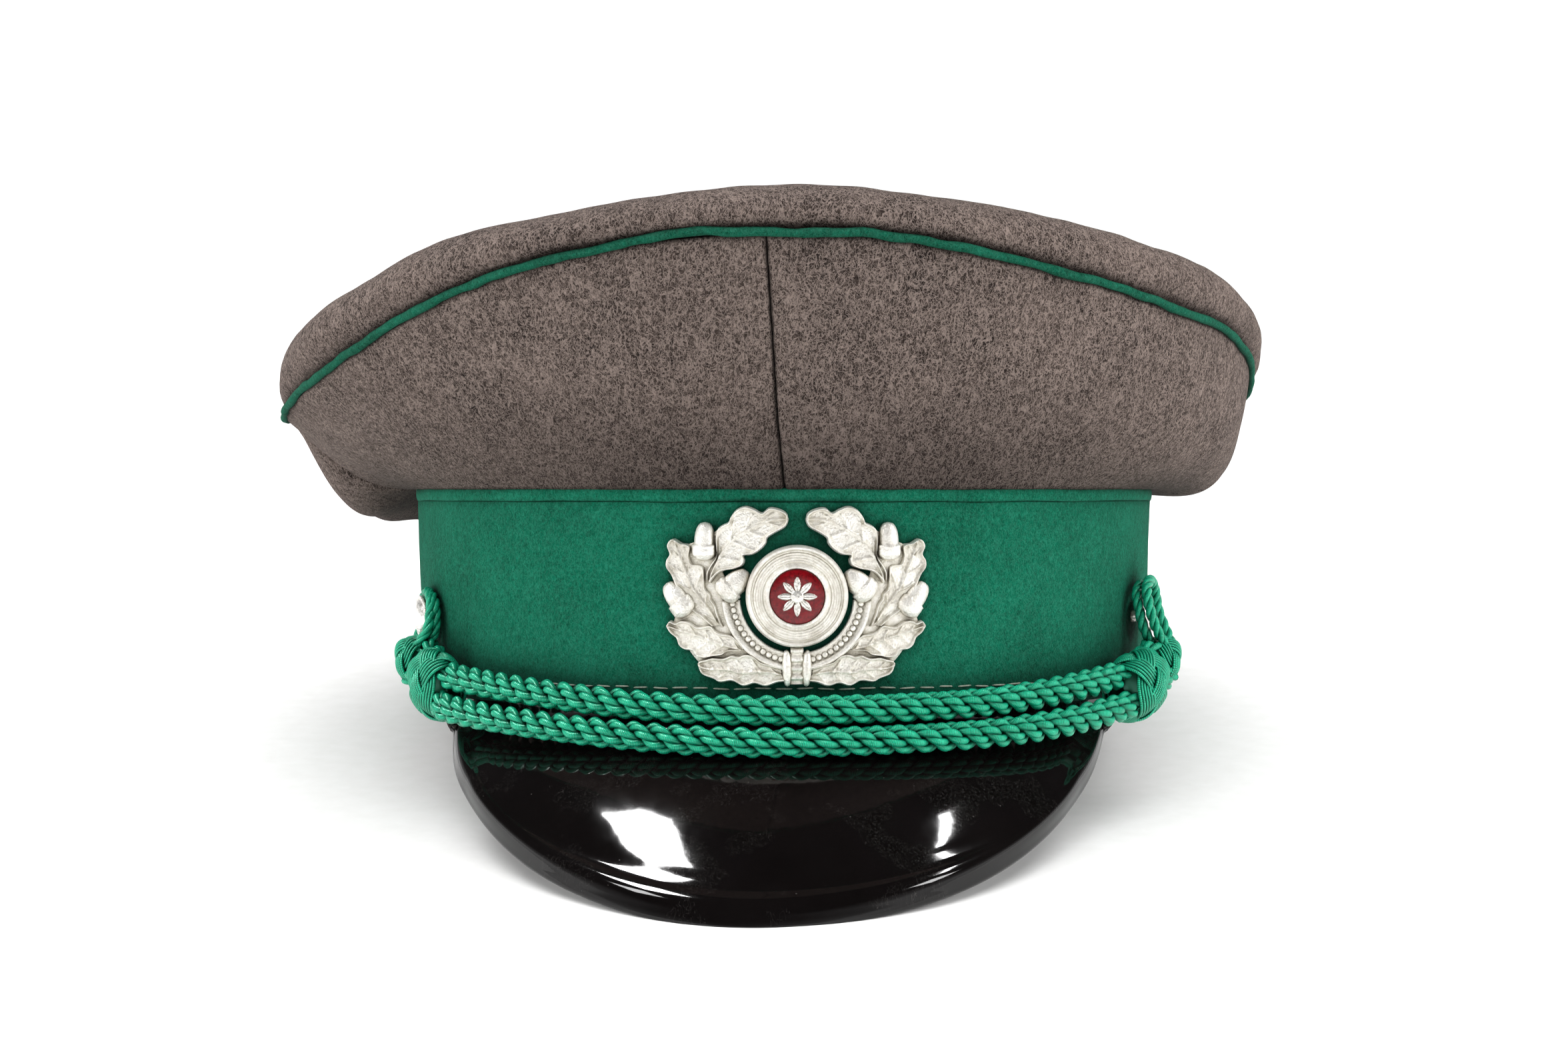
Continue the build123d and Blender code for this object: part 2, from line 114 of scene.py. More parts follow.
class Shape:
    """Collects grids of points into one mesh. The v direction of a grid is a closed section."""

    def __init__(self):
        self.points, self.faces, self.uvs, self.size = [], [], [], 0

    def grid(self, p, loop_u=False, uv=None):
        """Adds a grid; one that doesn't close on itself in the u direction is capped at both ends."""
        p = np.asarray(p, float)
        nu, nv = p.shape[:2]
        u, v = np.meshgrid(np.arange(nu if loop_u else nu - 1), np.arange(nv), indexing="ij")
        u1, v1 = (u + 1) % nu, (v + 1) % nv
        faces = np.stack([u * nv + v, u1 * nv + v, u1 * nv + v1, u * nv + v1], -1).reshape(-1, 4)
        self.faces += (faces + self.size).tolist()
        if not loop_u:
            first, last = np.arange(nv), np.arange(nv) + (nu - 1) * nv
            self.faces += [(last + self.size).tolist(), (first[::-1] + self.size).tolist()]
        self.points.append(p.reshape(-1, 3))
        self.uvs.append(np.zeros((nu * nv, 2)) if uv is None else np.asarray(uv, float).reshape(-1, 2))
        self.size += nu * nv
        return self

    def between(self, upper, lower):
        """Adds the solid between an upper surface and a lower one."""
        return self.grid(np.concatenate([upper, lower[:, ::-1]], 1))

    def build(self, name, material, body, replaces=(), slot=None, smooth=True, outward=True):
        mesh = bpy.data.meshes.new(name)
        mesh.from_pydata(to_row(np.vstack(self.points)).tolist(), [], self.faces)
        mesh.update()
        uvs = np.vstack(self.uvs)
        if uvs.any():
            layer = mesh.uv_layers.new(name="UVMap")
            index = np.zeros(len(mesh.loops), np.int32)
            mesh.loops.foreach_get("vertex_index", index)
            layer.data.foreach_set("uv", uvs[index].astype(np.float32).ravel())
        if outward:
            work = bmesh.new()
            work.from_mesh(mesh)
            bmesh.ops.recalc_face_normals(work, faces=work.faces)
            work.to_mesh(mesh)
            work.free()
        mesh.polygons.foreach_set("use_smooth", [smooth] * len(mesh.polygons))
        mesh.materials.append(material)
        piece = bpy.data.objects.new(name, mesh)
        bpy.context.scene.collection.objects.link(piece)
        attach(piece, body)
        if replaces:
            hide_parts(*replaces)
        return piece


def sheet_grid(outer, thickness, loop_u=False):
    """Closed section grid: an outer surface, and an inner one moved in along its normals."""
    du = np.roll(outer, -1, 0) - np.roll(outer, 1, 0) if loop_u else np.gradient(outer, axis=0)
    dv = np.gradient(outer, axis=1)
    normal = unit(np.cross(du, dv))
    return np.concatenate([outer, (outer - normal * thickness)[:, ::-1]], 1)


def tube(line, radius, sides, hint, loop=False):
    """Rings of points round a line; hint is a direction for each point that fixes where rings start."""
    line = np.asarray(line, float)
    tangent = unit(np.roll(line, -1, 0) - np.roll(line, 1, 0)) if loop else unit(np.gradient(line, axis=0))
    hint = np.broadcast_to(hint, line.shape)
    first = unit(hint - (hint * tangent).sum(-1, keepdims=True) * tangent)
    second = np.cross(tangent, first)
    turn = np.arange(sides) * 2 * pi / sides
    radius = np.broadcast_to(np.asarray(radius, float), (len(line),))
    ring = np.cos(turn)[None, :, None] * first[:, None] + np.sin(turn)[None, :, None] * second[:, None]
    return line[:, None] + ring * radius[:, None, None]


def tube_uv(line, sides):
    length = np.r_[0, np.cumsum(np.linalg.norm(np.diff(line, axis=0), axis=1))]
    return np.stack(np.meshgrid(length, np.arange(sides) / sides, indexing="ij"), -1)


# --- materials -----------------------------------------------------------------------------------
def node(tree, kind, links, **settings):
    """Adds a shader node; links gives its inputs, by name or number, as values or as wires."""
    made = tree.nodes.new("ShaderNode" + kind)
    for setting, value in settings.items():
        setattr(made, setting, value)
    for socket, value in links.items():
        if isinstance(value, Wire):
            tree.links.new(value.socket, made.inputs[socket])
        else:
            made.inputs[socket].default_value = value
    return made


class Wire:
    """Output of a shader node; arithmetic on it adds the math nodes."""

    def __init__(self, tree, socket):
        self.tree, self.socket = tree, socket

    def math(self, operation, first, second=0.0):
        return Wire(self.tree, node(self.tree, "Math", {0: first, 1: second}, operation=operation).outputs[0])

    def __add__(self, other):
        return self.math("ADD", self, other)

    def __sub__(self, other):
        return self.math("SUBTRACT", self, other)

    def __rsub__(self, other):
        return self.math("SUBTRACT", other, self)

    def __mul__(self, other):
        return self.math("MULTIPLY", self, other)

    def __truediv__(self, other):
        return self.math("DIVIDE", self, other)

    def __abs__(self):
        return self.math("ABSOLUTE", self)

    def below(self, limit):
        return self.math("LESS_THAN", self, limit)

    def above(self, limit):
        return self.math("GREATER_THAN", self, limit)

    def larger(self, other):
        return self.math("MAXIMUM", self, other)

    def clamped(self):
        return Wire(self.tree, node(self.tree, "Clamp", {"Value": self}).outputs[0])


class Nodes:
    """A node tree; its methods add nodes and give back the wire that comes out. Sizes are in millimetres."""

    def __init__(self, tree, coordinates):
        self.tree = tree
        self.place = self.wire("TexCoord", coordinates)

    def wire(self, kind, output, links=None, **settings):
        return Wire(self.tree, node(self.tree, kind, links or {}, **settings).outputs[output])

    def noise(self, size, detail=3.0, roughness=0.6, distortion=0.0, place=None):
        """Noise whose features are about size millimetres across."""
        return self.wire("TexNoise", "Fac", {"Vector": place or self.place, "Scale": 1 / (size * MM),
                                             "Detail": detail, "Roughness": roughness,
                                             "Distortion": distortion})

    def cells(self, size, **settings):
        """Distance to the middle of the nearest cell, or to its edge."""
        return self.wire("TexVoronoi", "Distance", {"Vector": self.place, "Scale": 1 / (size * MM)},
                         **settings)

    def turned(self, rotation, scale):
        return self.wire("Mapping", "Vector", {"Vector": self.place, "Rotation": rotation, "Scale": scale})

    def part(self, axis):
        """One coordinate of the place, in metres."""
        return self.wire("SeparateXYZ", axis, {"Vector": self.place})

    def openness(self, reach):
        """1 in the open, less in hollows narrower than the reach."""
        return self.wire("AmbientOcclusion", "AO", {"Distance": reach * MM}, samples=6)

    def ramp(self, value, *stops):
        made = node(self.tree, "ValToRGB", {"Fac": value})
        elements = made.color_ramp.elements
        while len(elements) < len(stops):
            elements.new(0.5)
        for element, (place, colour) in zip(elements, stops):
            element.position = place
            element.color = (*colour, 1)
        return Wire(self.tree, made.outputs["Color"])

    def mix(self, factor, first, second, how="MIX"):
        first, second = (value if isinstance(value, Wire) else (*value, 1) for value in (first, second))
        return self.wire("Mix", 2, {0: factor, 6: first, 7: second}, data_type="RGBA", blend_type=how)


class Paint(Nodes):
    """A material."""

    def __init__(self, name, **sockets):
        self.made = bpy.data.materials.new(name)
        self.made.use_nodes = True
        super().__init__(self.made.node_tree, "Object")
        self.shader = self.tree.nodes["Principled BSDF"]
        for socket, value in sockets.items():
            self.shader.inputs[socket.replace("_", " ")].default_value = value

    def join(self, socket, wire):
        self.tree.links.new(wire.socket, self.shader.inputs[socket])
        return self.made

    def finish(self, colour, height, strength, depth):
        """Joins up the colour, and a bump whose depth is in millimetres."""
        self.join("Base Color", colour)
        return self.join("Normal", self.wire("Bump", "Normal", {"Height": height, "Strength": strength,
                                                                "Distance": depth * MM}))


# rotation and size of the noise fields whose middle values draw the hairs
HAIR_LAYERS = (((0.3, 0.2, 0.5), 1.9), ((0.9, 1.4, 2.1), 1.35), ((2.2, 0.6, 1.3), 1.0),
               ((1.5, 2.5, 0.2), 1.6))
PAINTED_SHADE_TOP, PAINTED_SHADE_FADE = 0.112, 0.034            # painted shade over the foot of the crown: where it starts, in metres
PAINTED_SHADE_BACK, PAINTED_SHADE_BACK_FADE = -0.050, 0.040


def wool(name, dark, middle, light, hair, hair_amount, depth, foot_shade=0.0):
    """Fulled woollen cloth: cloudy colour, a felted surface, curled hairs, painted shade in hollows, and
    painted shade low on the front.
    """
    paint = Paint(name, Roughness=0.95, Specular_IOR_Level=0.12, Sheen_Weight=0.08, Sheen_Roughness=0.5,
                  Sheen_Tint=(*light, 1))
    clouds = paint.noise(16, 3.0, 0.55)
    felt = paint.noise(1.1, 5.0, 0.8, 0.6)
    grain = paint.noise(0.40, 4.0, 0.8)
    cover = clouds * 0.16 + (felt * 0.44 + grain * 0.40)
    colour = paint.ramp(cover, (0.41, dark), (0.50, middle), (0.60, light))
    hairs = None
    for turn, size in HAIR_LAYERS:
        field = paint.noise(size, 1.0, 0.4, 1.2, paint.turned(turn, (1, 1, 0.6)))
        line = (1.0 - abs(field - 0.5) * 26.0).clamped()
        hairs = line if hairs is None else hairs.larger(line)
    hairs = hairs * (grain * 1.1 + 0.35)
    colour = paint.mix(hairs * hair_amount, colour, hair)
    # painted shade: darker where the cloth is close to other surfaces, from an occlusion node
    shade = paint.ramp(paint.openness(45), (0.50, (0.32, 0.32, 0.32)), (0.97, (1, 1, 1)))
    colour = paint.mix(1.0, colour, shade, "MULTIPLY")
    # painted shade: darker low on the front of the crown, fading towards the top and the back
    if foot_shade:
        low = ((PAINTED_SHADE_TOP - paint.part("Z")) / PAINTED_SHADE_FADE).clamped()
        ahead = ((PAINTED_SHADE_BACK - paint.part("Y")) / PAINTED_SHADE_BACK_FADE).clamped()
        colour = paint.mix(low * ahead * foot_shade, colour, dark)
    return paint.finish(colour, felt * 0.7 + (grain * 0.35 + hairs * 0.30), 0.75, depth)


def leather():
    paint = Paint("leather_brown", Roughness=0.5, Coat_Weight=0.1)
    colour = paint.ramp(paint.noise(18, 4.0), (0.3, (0.11, 0.055, 0.03)), (0.7, (0.24, 0.13, 0.07)))
    return paint.finish(colour, paint.cells(0.8, feature="DISTANCE_TO_EDGE"), 0.5, 0.12)


def visor_black():
    """Polished moulded sheet with dust, rub marks and fine scratches."""
    paint = Paint("visor_black", Roughness=0.07, Specular_IOR_Level=0.32, IOR=1.5)
    haze = paint.noise(22, 4.0, 0.6)
    smears = paint.noise(5, 3.0, 0.6, place=paint.turned((0.2, 0.1, 0.6), (1, 0.16, 1)))
    specks = paint.cells(3.1).below(0.05) * paint.noise(9, 2.0).above(0.57)
    scratches = None
    for turn in ((0.4, 0.3, 0.9), (1.2, 0.4, 2.2), (0.1, 1.1, 0.1)):
        field = paint.noise(0.8, 0.0, 0.5, place=paint.turned(turn, (1, 1, 0.012)))
        lines = abs(field - 0.62).below(0.0035)
        scratches = lines if scratches is None else scratches.larger(lines)
    scratches = scratches * paint.noise(16, 2.0).above(0.52)
    marks = (specks * 0.10).larger(scratches * 0.06)
    base = paint.ramp(haze, (0.3, (0.0020, 0.0015, 0.0015)), (0.75, (0.0034, 0.0027, 0.0027)))
    paint.join("Roughness", smears * 0.10 + marks * 0.5 + 0.015)
    return paint.finish(paint.mix(marks, base, (0.42, 0.39, 0.36)), haze + marks * 0.04, 0.12, 0.5)


def visor_under():
    paint = Paint("visor_lining", Roughness=0.62)
    colour = paint.ramp(paint.noise(3, 5.0, 0.7), (0.3, (0.012, 0.009, 0.008)), (0.7, (0.035, 0.026, 0.022)))
    return paint.finish(colour, paint.noise(0.5, 4.0, 0.7), 0.6, 0.15)


def gimp(name, dark, light):
    """Cord of fine satin thread wound round a core: ribs across the length, painted shade in the gaps, with
    UV in millimetres.
    """
    paint = Paint(name, Roughness=0.30, Specular_IOR_Level=1.0, Specular_Tint=(0.35, 1.0, 0.72, 1),
                  Sheen_Weight=0.15, Sheen_Roughness=0.35, Sheen_Tint=(*light, 1))
    ribs = paint.wire("TexWave", "Fac", {"Vector": paint.wire("UVMap", "UV"), "Scale": 1.1, "Distortion": 1.2,
                                         "Detail": 2.0, "Detail Scale": 3.0}, bands_direction="X")
    colour = paint.ramp(paint.noise(2.6, 4.0, 0.65) * 0.6 + ribs * 0.4, (0.28, dark), (0.68, light))
    # painted shade: darker in the narrow gaps between yarns, from an occlusion node
    gap_shade_colour = tuple(0.18 * channel for channel in dark)
    gap_shade = paint.ramp(paint.openness(1.5), (0.34, (0, 0, 0)), (0.92, (1, 1, 1)))
    return paint.finish(paint.mix(gap_shade, gap_shade_colour, colour), ribs, 0.45, 0.08)


def silver(name, dark, light, rough, stipple):
    """Frosted, pressed and silvered metal with darker hollows."""
    paint = Paint(name, Metallic=0.74, Roughness=rough)
    wear = paint.noise(0.9, 4.0, 0.7)
    plain = paint.ramp(paint.noise(5, 5.0, 0.65) * 0.6 + wear * 0.4, (0.34, dark), (0.56, light))
    hollow = paint.ramp(paint.openness(1.3), (0.25, (0.12, 0.10, 0.07)), (0.66, (0.74, 0.72, 0.64)),
                        (0.88, (1, 1, 1)))
    paint.join("Roughness", wear * 0.25 + (rough - 0.1))
    return paint.finish(paint.mix(1.0, plain, hollow, "MULTIPLY"), paint.cells(stipple), 0.8, 0.12)


def enamel():
    paint = Paint("enamel_red", Roughness=0.16, Specular_IOR_Level=0.3, Coat_Weight=0.25, Coat_Roughness=0.05)
    rays = paint.noise(0.7, 4.0, 0.7)
    return paint.finish(paint.ramp(rays, (0.3, (0.050, 0.001, 0.002)), (0.7, (0.21, 0.003, 0.007))), rays,
                        0.15, 0.1)


def satin(name, dark, light):
    paint = Paint(name, Roughness=0.45, Sheen_Weight=0.3, Sheen_Roughness=0.4)
    warp, weft = (paint.wire("TexWave", "Fac", {"Vector": paint.place, "Scale": 1 / (size * MM),
                                                "Distortion": 0.6},
                             bands_direction=axis) for size, axis in ((2.2, "X"), (2.6, "Y")))
    weave = warp * weft
    return paint.finish(paint.ramp(paint.noise(20) * 0.7 + weave * 0.3, (0.3, dark), (0.7, light)), weave,
                        0.25, 0.05)


def fibre(name, dark, light, rough, size):
    paint = Paint(name, Roughness=rough)
    tone = paint.noise(size, 6.0, 0.75, place=paint.turned((0.3, 0.2, 0.4), (1, 1, 0.25)))
    return paint.finish(paint.ramp(tone, (0.3, dark), (0.7, light)), tone, 0.5, 0.2)


def steel():
    paint = Paint("spring_steel", Metallic=1.0, Roughness=0.35)
    drawn = paint.noise(0.4, 4.0, 0.6, place=paint.turned((0, 0, 0.3), (1, 0.08, 1)))
    paint.join("Roughness", drawn * 0.3 + 0.2)
    return paint.finish(paint.ramp(drawn, (0.3, (0.33, 0.32, 0.31)), (0.7, (0.62, 0.61, 0.6))), drawn, 0.2,
                        0.03)


def clear_sheet():
    paint = Paint("clear_shield", Roughness=0.12, Transmission_Weight=0.85, IOR=1.48)
    tone = paint.noise(12, 4.0)
    return paint.finish(paint.ramp(tone, (0.3, (0.72, 0.68, 0.55)), (0.7, (0.92, 0.9, 0.82))), tone, 0.2, 0.3)


WOOL_STONE = wool("wool_stone", (0.006, 0.004, 0.004), (0.037, 0.027, 0.023), (0.118, 0.090, 0.078),
                  (0.380, 0.300, 0.265), 0.60, 0.45, foot_shade=0.6)
WOOL_GREEN = wool("wool_green", (0.001, 0.048, 0.026), (0.0020, 0.096, 0.052), (0.006, 0.150, 0.088),
                  (0.05, 0.28, 0.19), 0.22, 0.28)
# the piping: the band's green made darker, painted shade on the half-hidden cord
PIPING_GREEN_SHADED = wool("piping_green_shaded", (0.001, 0.030, 0.016), (0.002, 0.062, 0.034), (0.005, 0.105, 0.062),
                    (0.05, 0.22, 0.15), 0.22, 0.2)
LEATHER = leather()
VISOR = visor_black()
VISOR_UNDER = visor_under()
CORD = gimp("cord_green", (0.001, 0.095, 0.047), (0.008, 0.42, 0.235))
# the knots' core: a darker copy of the cord, painted shade seen through the gaps of the weave
CORD_CORE_SHADED = gimp("cord_core_shaded", (0.001, 0.030, 0.016), (0.003, 0.060, 0.034))
SILVER = silver("silver", (0.66, 0.62, 0.55), (0.95, 0.93, 0.88), 0.42, 0.34)
SILVER_BRIGHT = silver("silver_bright", (0.62, 0.59, 0.53), (0.90, 0.88, 0.84), 0.26, 0.8)
ENAMEL = enamel()
LINING = satin("lining_satin", (0.10, 0.105, 0.095), (0.24, 0.24, 0.22))
BOARD = fibre("fibre_board", (0.30, 0.25, 0.19), (0.62, 0.56, 0.46), 0.85, 1.2)
WADDING = fibre("wadding", (0.55, 0.53, 0.48), (0.85, 0.83, 0.78), 1.0, 2.5)
THREAD = fibre("seam_thread", (0.10, 0.13, 0.10), (0.30, 0.33, 0.27), 0.7, 0.5)
STEEL = steel()
CLEAR = clear_sheet()


# --- the crown -----------------------------------------------------------------------------------
def oval(width, length, angle, centre=0.0):
    return np.stack([width * np.sin(angle), centre - length * np.cos(angle)], -1)


def oval_out(width, length, angle):
    return unit(np.stack([length * np.sin(angle), -width * np.cos(angle)], -1))


def round_table(angle, table):
    """Smooth value at an angle from a table of (degrees from the front, right positive): value."""
    turn = (np.degrees(angle) + 180) % 360 - 180
    fine = np.arange(-200, 201, 2.0)
    raw = np.interp(fine, list(table), list(table.values()), period=360)
    soft = np.convolve(np.pad(raw, 4, mode="edge"), np.hanning(11)[1:-1] / np.hanning(11).sum(), "valid")
    return np.interp(turn, fine, soft)


def crown_level(y):
    """Height of the saddle-shaped rim at a distance behind the middle of the band."""
    return RIM_Z + SADDLE - np.sqrt(SADDLE**2 - np.minimum(y, 0)**2)


# the worn rim rises and dips; the roll of cloth above it is taller at the sides and bulges on the left
RIM_LIFT = {-180: 0, -110: -1, -90: -1.6, -80: -1.3, -51: 0.3, -33: 2.0, -21: 1.6, -10: 0.6, 0: 0.2,
            14: 0.7, 28: 1.6, 45: 4.3, 63: 8.4, 77: 7.2, 86: 2.6, 93: -1.6, 110: -1, 180: 0}
ROLL_RISE = {-180: 1.44, -75: 1.53, -55: 1.62, -42: 1.46, -25: 0.97, 0: 0.94, 25: 1.10, 45: 1.36, 60: 1.32,
             180: 1.3}
ROLL_BULGE = {-180: 0, -78: -0.4, -60: 2.6, -45: 1.6, -25: 0.6, 0: -0.5, 25: -0.6, 45: -0.9, 60: 0.4, 90: 1.3,
              110: 0, 180: 0}


def rim(angle):
    """Middle of the piping, and the level direction straight out from it."""
    flat = oval(RIM_W, RIM_L, angle, RIM_Y)
    height = crown_level(flat[..., 1]) + RIM_LEAN * np.sin(angle) + round_table(angle, RIM_LIFT)
    return lifted(flat + (RIM_SHIFT, 0), height), lifted(oval_out(RIM_W, RIM_L, angle), 0.0)


Z = np.array((0.0, 0.0, 1.0))
around = np.linspace(0, 2 * pi, 360, endpoint=False)

CROWN_SHEET, SIDE_SHEET = 1.5, 1.3            # thickness of the cloth of the top and of the side
PLAIN_RISE, DISH = 12.4, 2.6                  # height of the flat of the top over the rim, and its dip
# the rolled edge of the top, as (outward, height) from the middle of the piping
TOP_PROFILE = [(-2.6, 0.2), (-1.6, 0.1), (-0.5, 0.9), (1.3, 2.4), (2.3, 4.6), (1.8, 7.2), (-0.6, 9.4),
               (-4.5, 10.7), (-9.0, 11.1), (-15.0, 10.9), (-24.0, 10.2)]
profile = smooth_curve(TOP_PROFILE, 34)
point, out = rim(around)
bulge = clamp(profile[:, 1] / 5) * clamp((12 - profile[:, 1]) / 5) * (profile[:, 0] > -8)
outward = profile[None, :, 0] + round_table(around, ROLL_BULGE)[:, None] * bulge[None, :]
upward = round_table(around, ROLL_RISE)[:, None] * profile[:, 1]
roll = point[:, None] + out[:, None] * outward[..., None] + Z * upward[..., None]


def plain_level(flat):
    """Height of the flat of the top, before it dips."""
    return crown_level(flat[..., 1]) + RIM_LEAN * (flat[..., 0] - RIM_SHIFT) / RIM_W + PLAIN_RISE


inner = roll[:, -1:]
middle = np.array((RIM_SHIFT, RIM_Y))
share = np.linspace(1, 0.003, 30)[None, 1:]   # of the way from the middle out to the roll
flat = middle + (inner[..., :2] - middle) * share[..., None]
extra = inner[..., 2] - plain_level(inner)
level = plain_level(flat) + extra * share**2 - DISH * (1 - share**2)
top = np.concatenate([roll, lifted(flat, level)], 1)
weight = clamp(np.arange(top.shape[1]) / 12)[None, :]
fall = clamp((top.shape[1] - np.arange(top.shape[1])) / 10)[None, :]
puckers = 0.35 * waves(top, 34, 3) + 0.12 * waves(top, 11, 4)
dents = -0.9 * np.clip(waves(top * (1, 1, 0), 95, 8), 0, 2)
top[..., 2] += weight * fall * (puckers + dents)
top += 0.22 * (waves(top, 16, 5) * (1 - weight * 0.6))[..., None] * out[:, None]
crown_top = Shape().grid(sheet_grid(top, CROWN_SHEET, True), loop_u=True).build(
    "crown_top_cloth", WOOL_STONE, "cap", ["crown_top"], "wool_stone")

# how far the side cloth bellies out below the straight line from band to rim, by the angle round the cap
SAG = {0: 2.0, 20: 2.0, 45: 4.0, 70: 8.0, 90: 10.0, 110: 10.0, 140: 9.0, 180: 8.0, 215: 12.0, 240: 18.0,
       254: 16.3, 263: 13.8, 270: 4.5, 276: 2.0, 290: 1.5, 320: 1.5, 345: 1.8, 360: 2.0}
SIDE_RADIUS = 115.0                           # mean radius of the crown's side
SIDE_FOOT = 49.6                              # height at which the side cloth meets the band
SEAM_STEPS = (0, 0.12, 0.3, 0.55, 0.85, 1.2, 1.8, 2.8)     # columns of points at these distances from a seam
SEAM_TUCK, SEAM_REACH = 1.5, 1.25             # depth and width of the fold at a seam


def side_cloth(first, last, seed):
    """One quarter of the crown's side, with its ends turned in at the seams."""
    edge = np.array(SEAM_STEPS) / SIDE_RADIUS
    angle = np.r_[first + edge, np.linspace(first + edge[-1], last - edge[-1], 84)[1:-1], last - edge[::-1]]
    sag = np.interp(np.degrees(angle), list(SAG), list(SAG.values()))
    sag = np.convolve(np.pad(sag, 2, mode="edge"), np.ones(5) / 5, "valid")
    start = lifted(oval(BAND_W + FLARE + 0.2, BAND_L + FLARE + 0.2, angle), SIDE_FOOT)
    rim_point, rim_out = rim(angle)
    end = rim_point - Z * 0.6 + rim_out * 0.3
    chord = end - start
    reach, rise = np.linalg.norm(chord[:, :2], axis=1), chord[:, 2]
    heading = lifted(chord[:, :2] / reach[:, None], 0.0)
    below = unit(heading * rise[:, None] - Z * reach[:, None])
    t = np.linspace(0, 1, 44)[None, :, None]
    push = (4 / 3 * sag)[:, None] * below
    # the belly hangs low, and at the rear left nearer the rim
    high = np.interp(np.degrees(angle), (190, 235, 266, 272), (0.64, 0.96, 0.96, 0.64))[:, None]
    second, third = start + chord / 3 + push * (2 - high), start + chord * 2 / 3 + push * high
    cloth = ((1 - t)**3 * start[:, None] + 3 * (1 - t)**2 * t * second[:, None]
             + 3 * (1 - t) * t**2 * third[:, None] + t**3 * end[:, None])
    hold = np.sin(pi * t[..., 0])
    ripple = 0.55 * waves(cloth * (1, 1, 0.6), 42, seed) + 0.25 * waves(cloth * (1, 1, 0.5), 17, seed + 1)
    slack = np.clip(sag / 9, 0.35, 1.5)[:, None]
    cloth += (hold * slack * ripple)[..., None] * below[:, None]
    near = np.minimum(angle - first, last - angle) * SIDE_RADIUS
    tuck = SEAM_TUCK * (1 - np.sqrt(1 - clamp(1 - near / SEAM_REACH)**2))
    pucker = 1 + 0.18 * np.sin(t[..., 0] * 60 + seed)
    cloth -= (tuck[:, None] * pucker)[..., None] * below[:, None]
    tail = cloth[:, :1] - below[:, None] * 1.0 - heading[:, None] * 1.2       # turned in above the band
    return np.concatenate([tail, cloth], 1)


for index, name in enumerate(("front_right", "rear_right", "rear_left", "front_left")):
    cloth = side_cloth(radians(90 * index), radians(90 * index + 90), 20 + 5 * index)
    Shape().grid(sheet_grid(cloth, SIDE_SHEET)).build(
        f"crown_{name}_cloth", WOOL_STONE, "cap", [f"crown_side_{name}"], "wool_stone")

wander = 0.30 * waves(point, 26, 31) + 0.16 * waves(point, 10, 32)
line = point + out * (0.75 + 0.12 * waves(point, 13, 33))[:, None] + Z * (wander + 0.15)[:, None]
cord = tube(line, 1.02 + 0.09 * waves(point, 7, 34), 12, out, loop=True)
Shape().grid(cord, loop_u=True).build("crown_piping_cord", PIPING_GREEN_SHADED, "cap", ["crown_piping"],
                                      "wool_green")

# --- the band ------------------------------------------------------------------------------------
BAND_PROFILE = [(-1.7, 2.2), (-1.75, 0.8), (-1.2, -0.1), (-0.5, 0.1), (-0.08, 0.8), (0.0, 2.0), (0.0, 5.0),
                (0.0, 12), (0.0, 20), (0.0, 28), (0.0, 36), (0.0, 42), (0.0, 45), (-0.04, 46.6),
                (-0.3, 47.0), (-1.5, 47.4), (-1.8, 46.0), (-1.8, 36.0), (-1.8, 24.0), (-1.8, 12.0)]


def band_ring(profile, angle=around):
    """Section swept round the band: (outward, height) pairs on the flared wall."""
    profile = np.asarray(profile, float)
    grow = FLARE * profile[:, 1] / BAND_H
    flat = np.stack([oval(BAND_W + g, BAND_L + g, angle) + oval_out(BAND_W, BAND_L, angle) * d
                     for (d, _), g in zip(profile, grow)], 1)
    return lifted(flat, profile[:, 1])


band = band_ring(BAND_PROFILE)
out = lifted(oval_out(BAND_W, BAND_L, around), 0.0)[:, None]
outside = np.r_[np.zeros(4), np.ones(9), np.zeros(7)][None, :, None]
band += out * outside * (0.16 * waves(band, 26, 41) + 0.07 * waves(band, 9, 42))[..., None]
Shape().grid(band, loop_u=True).build("band_cloth", WOOL_GREEN, "cap", ["band_cover"], "wool_green")

welt_section = [(0.0, 46.9), (0.24, 47.1), (0.42, 47.8), (0.46, 48.7), (0.36, 49.5), (0.0, 50.0),
                (-0.7, 49.9), (-0.9, 48.9), (-0.9, 47.8), (-0.6, 47.1)]
welt = band_ring(welt_section)
welt += out * (0.10 * waves(welt, 14, 43))[..., None] + Z * (0.12 * waves(welt, 22, 44))[..., None]
Shape().grid(welt, loop_u=True).build("band_welt_cloth", WOOL_GREEN, "cap", ["band_welt"], "wool_green")


def wall_point(angle, height, stand=0.0, along=0.0):
    """Point on the band's wall, at an angle, plus a step along it and one outwards."""
    grow = FLARE * height / BAND_H
    width, length = BAND_W + grow, BAND_L + grow
    angle = angle + along / np.hypot(width * np.cos(angle), length * np.sin(angle))
    flat = oval(width, length, angle) + oval_out(width, length, angle) * np.asarray(stand)[..., None]
    return lifted(flat, height)


def stitch_row(height, stand, spacing, length, thick):
    """Row of separate stitches round the band."""
    shape = Shape()
    count = int(pi * (BAND_W + BAND_L) / spacing)
    for index in range(count):
        angle = 2 * pi * index / count
        t = np.linspace(-1, 1, 7)
        lift = thick * 0.55 * (1 - t**4) - thick * 0.25
        drift = 0.12 * sin(index * 1.7)
        line = wall_point(np.full(7, angle), height + drift + 0.1 * t * sin(index * 2.3), stand + lift,
                          t * length / 2)
        shape.grid(tube(line, thick / 2 * np.sqrt(np.maximum(1 - 0.8 * t**6, 0.05)), 6, Z))
    return shape


stitch_row(4.9, 0.12, 5.0, 3.7, 0.42).build("band_stitches", THREAD, "cap", slot="wool_green")

# --- the visor -----------------------------------------------------------------------------------
UPPER_POINTS = 64


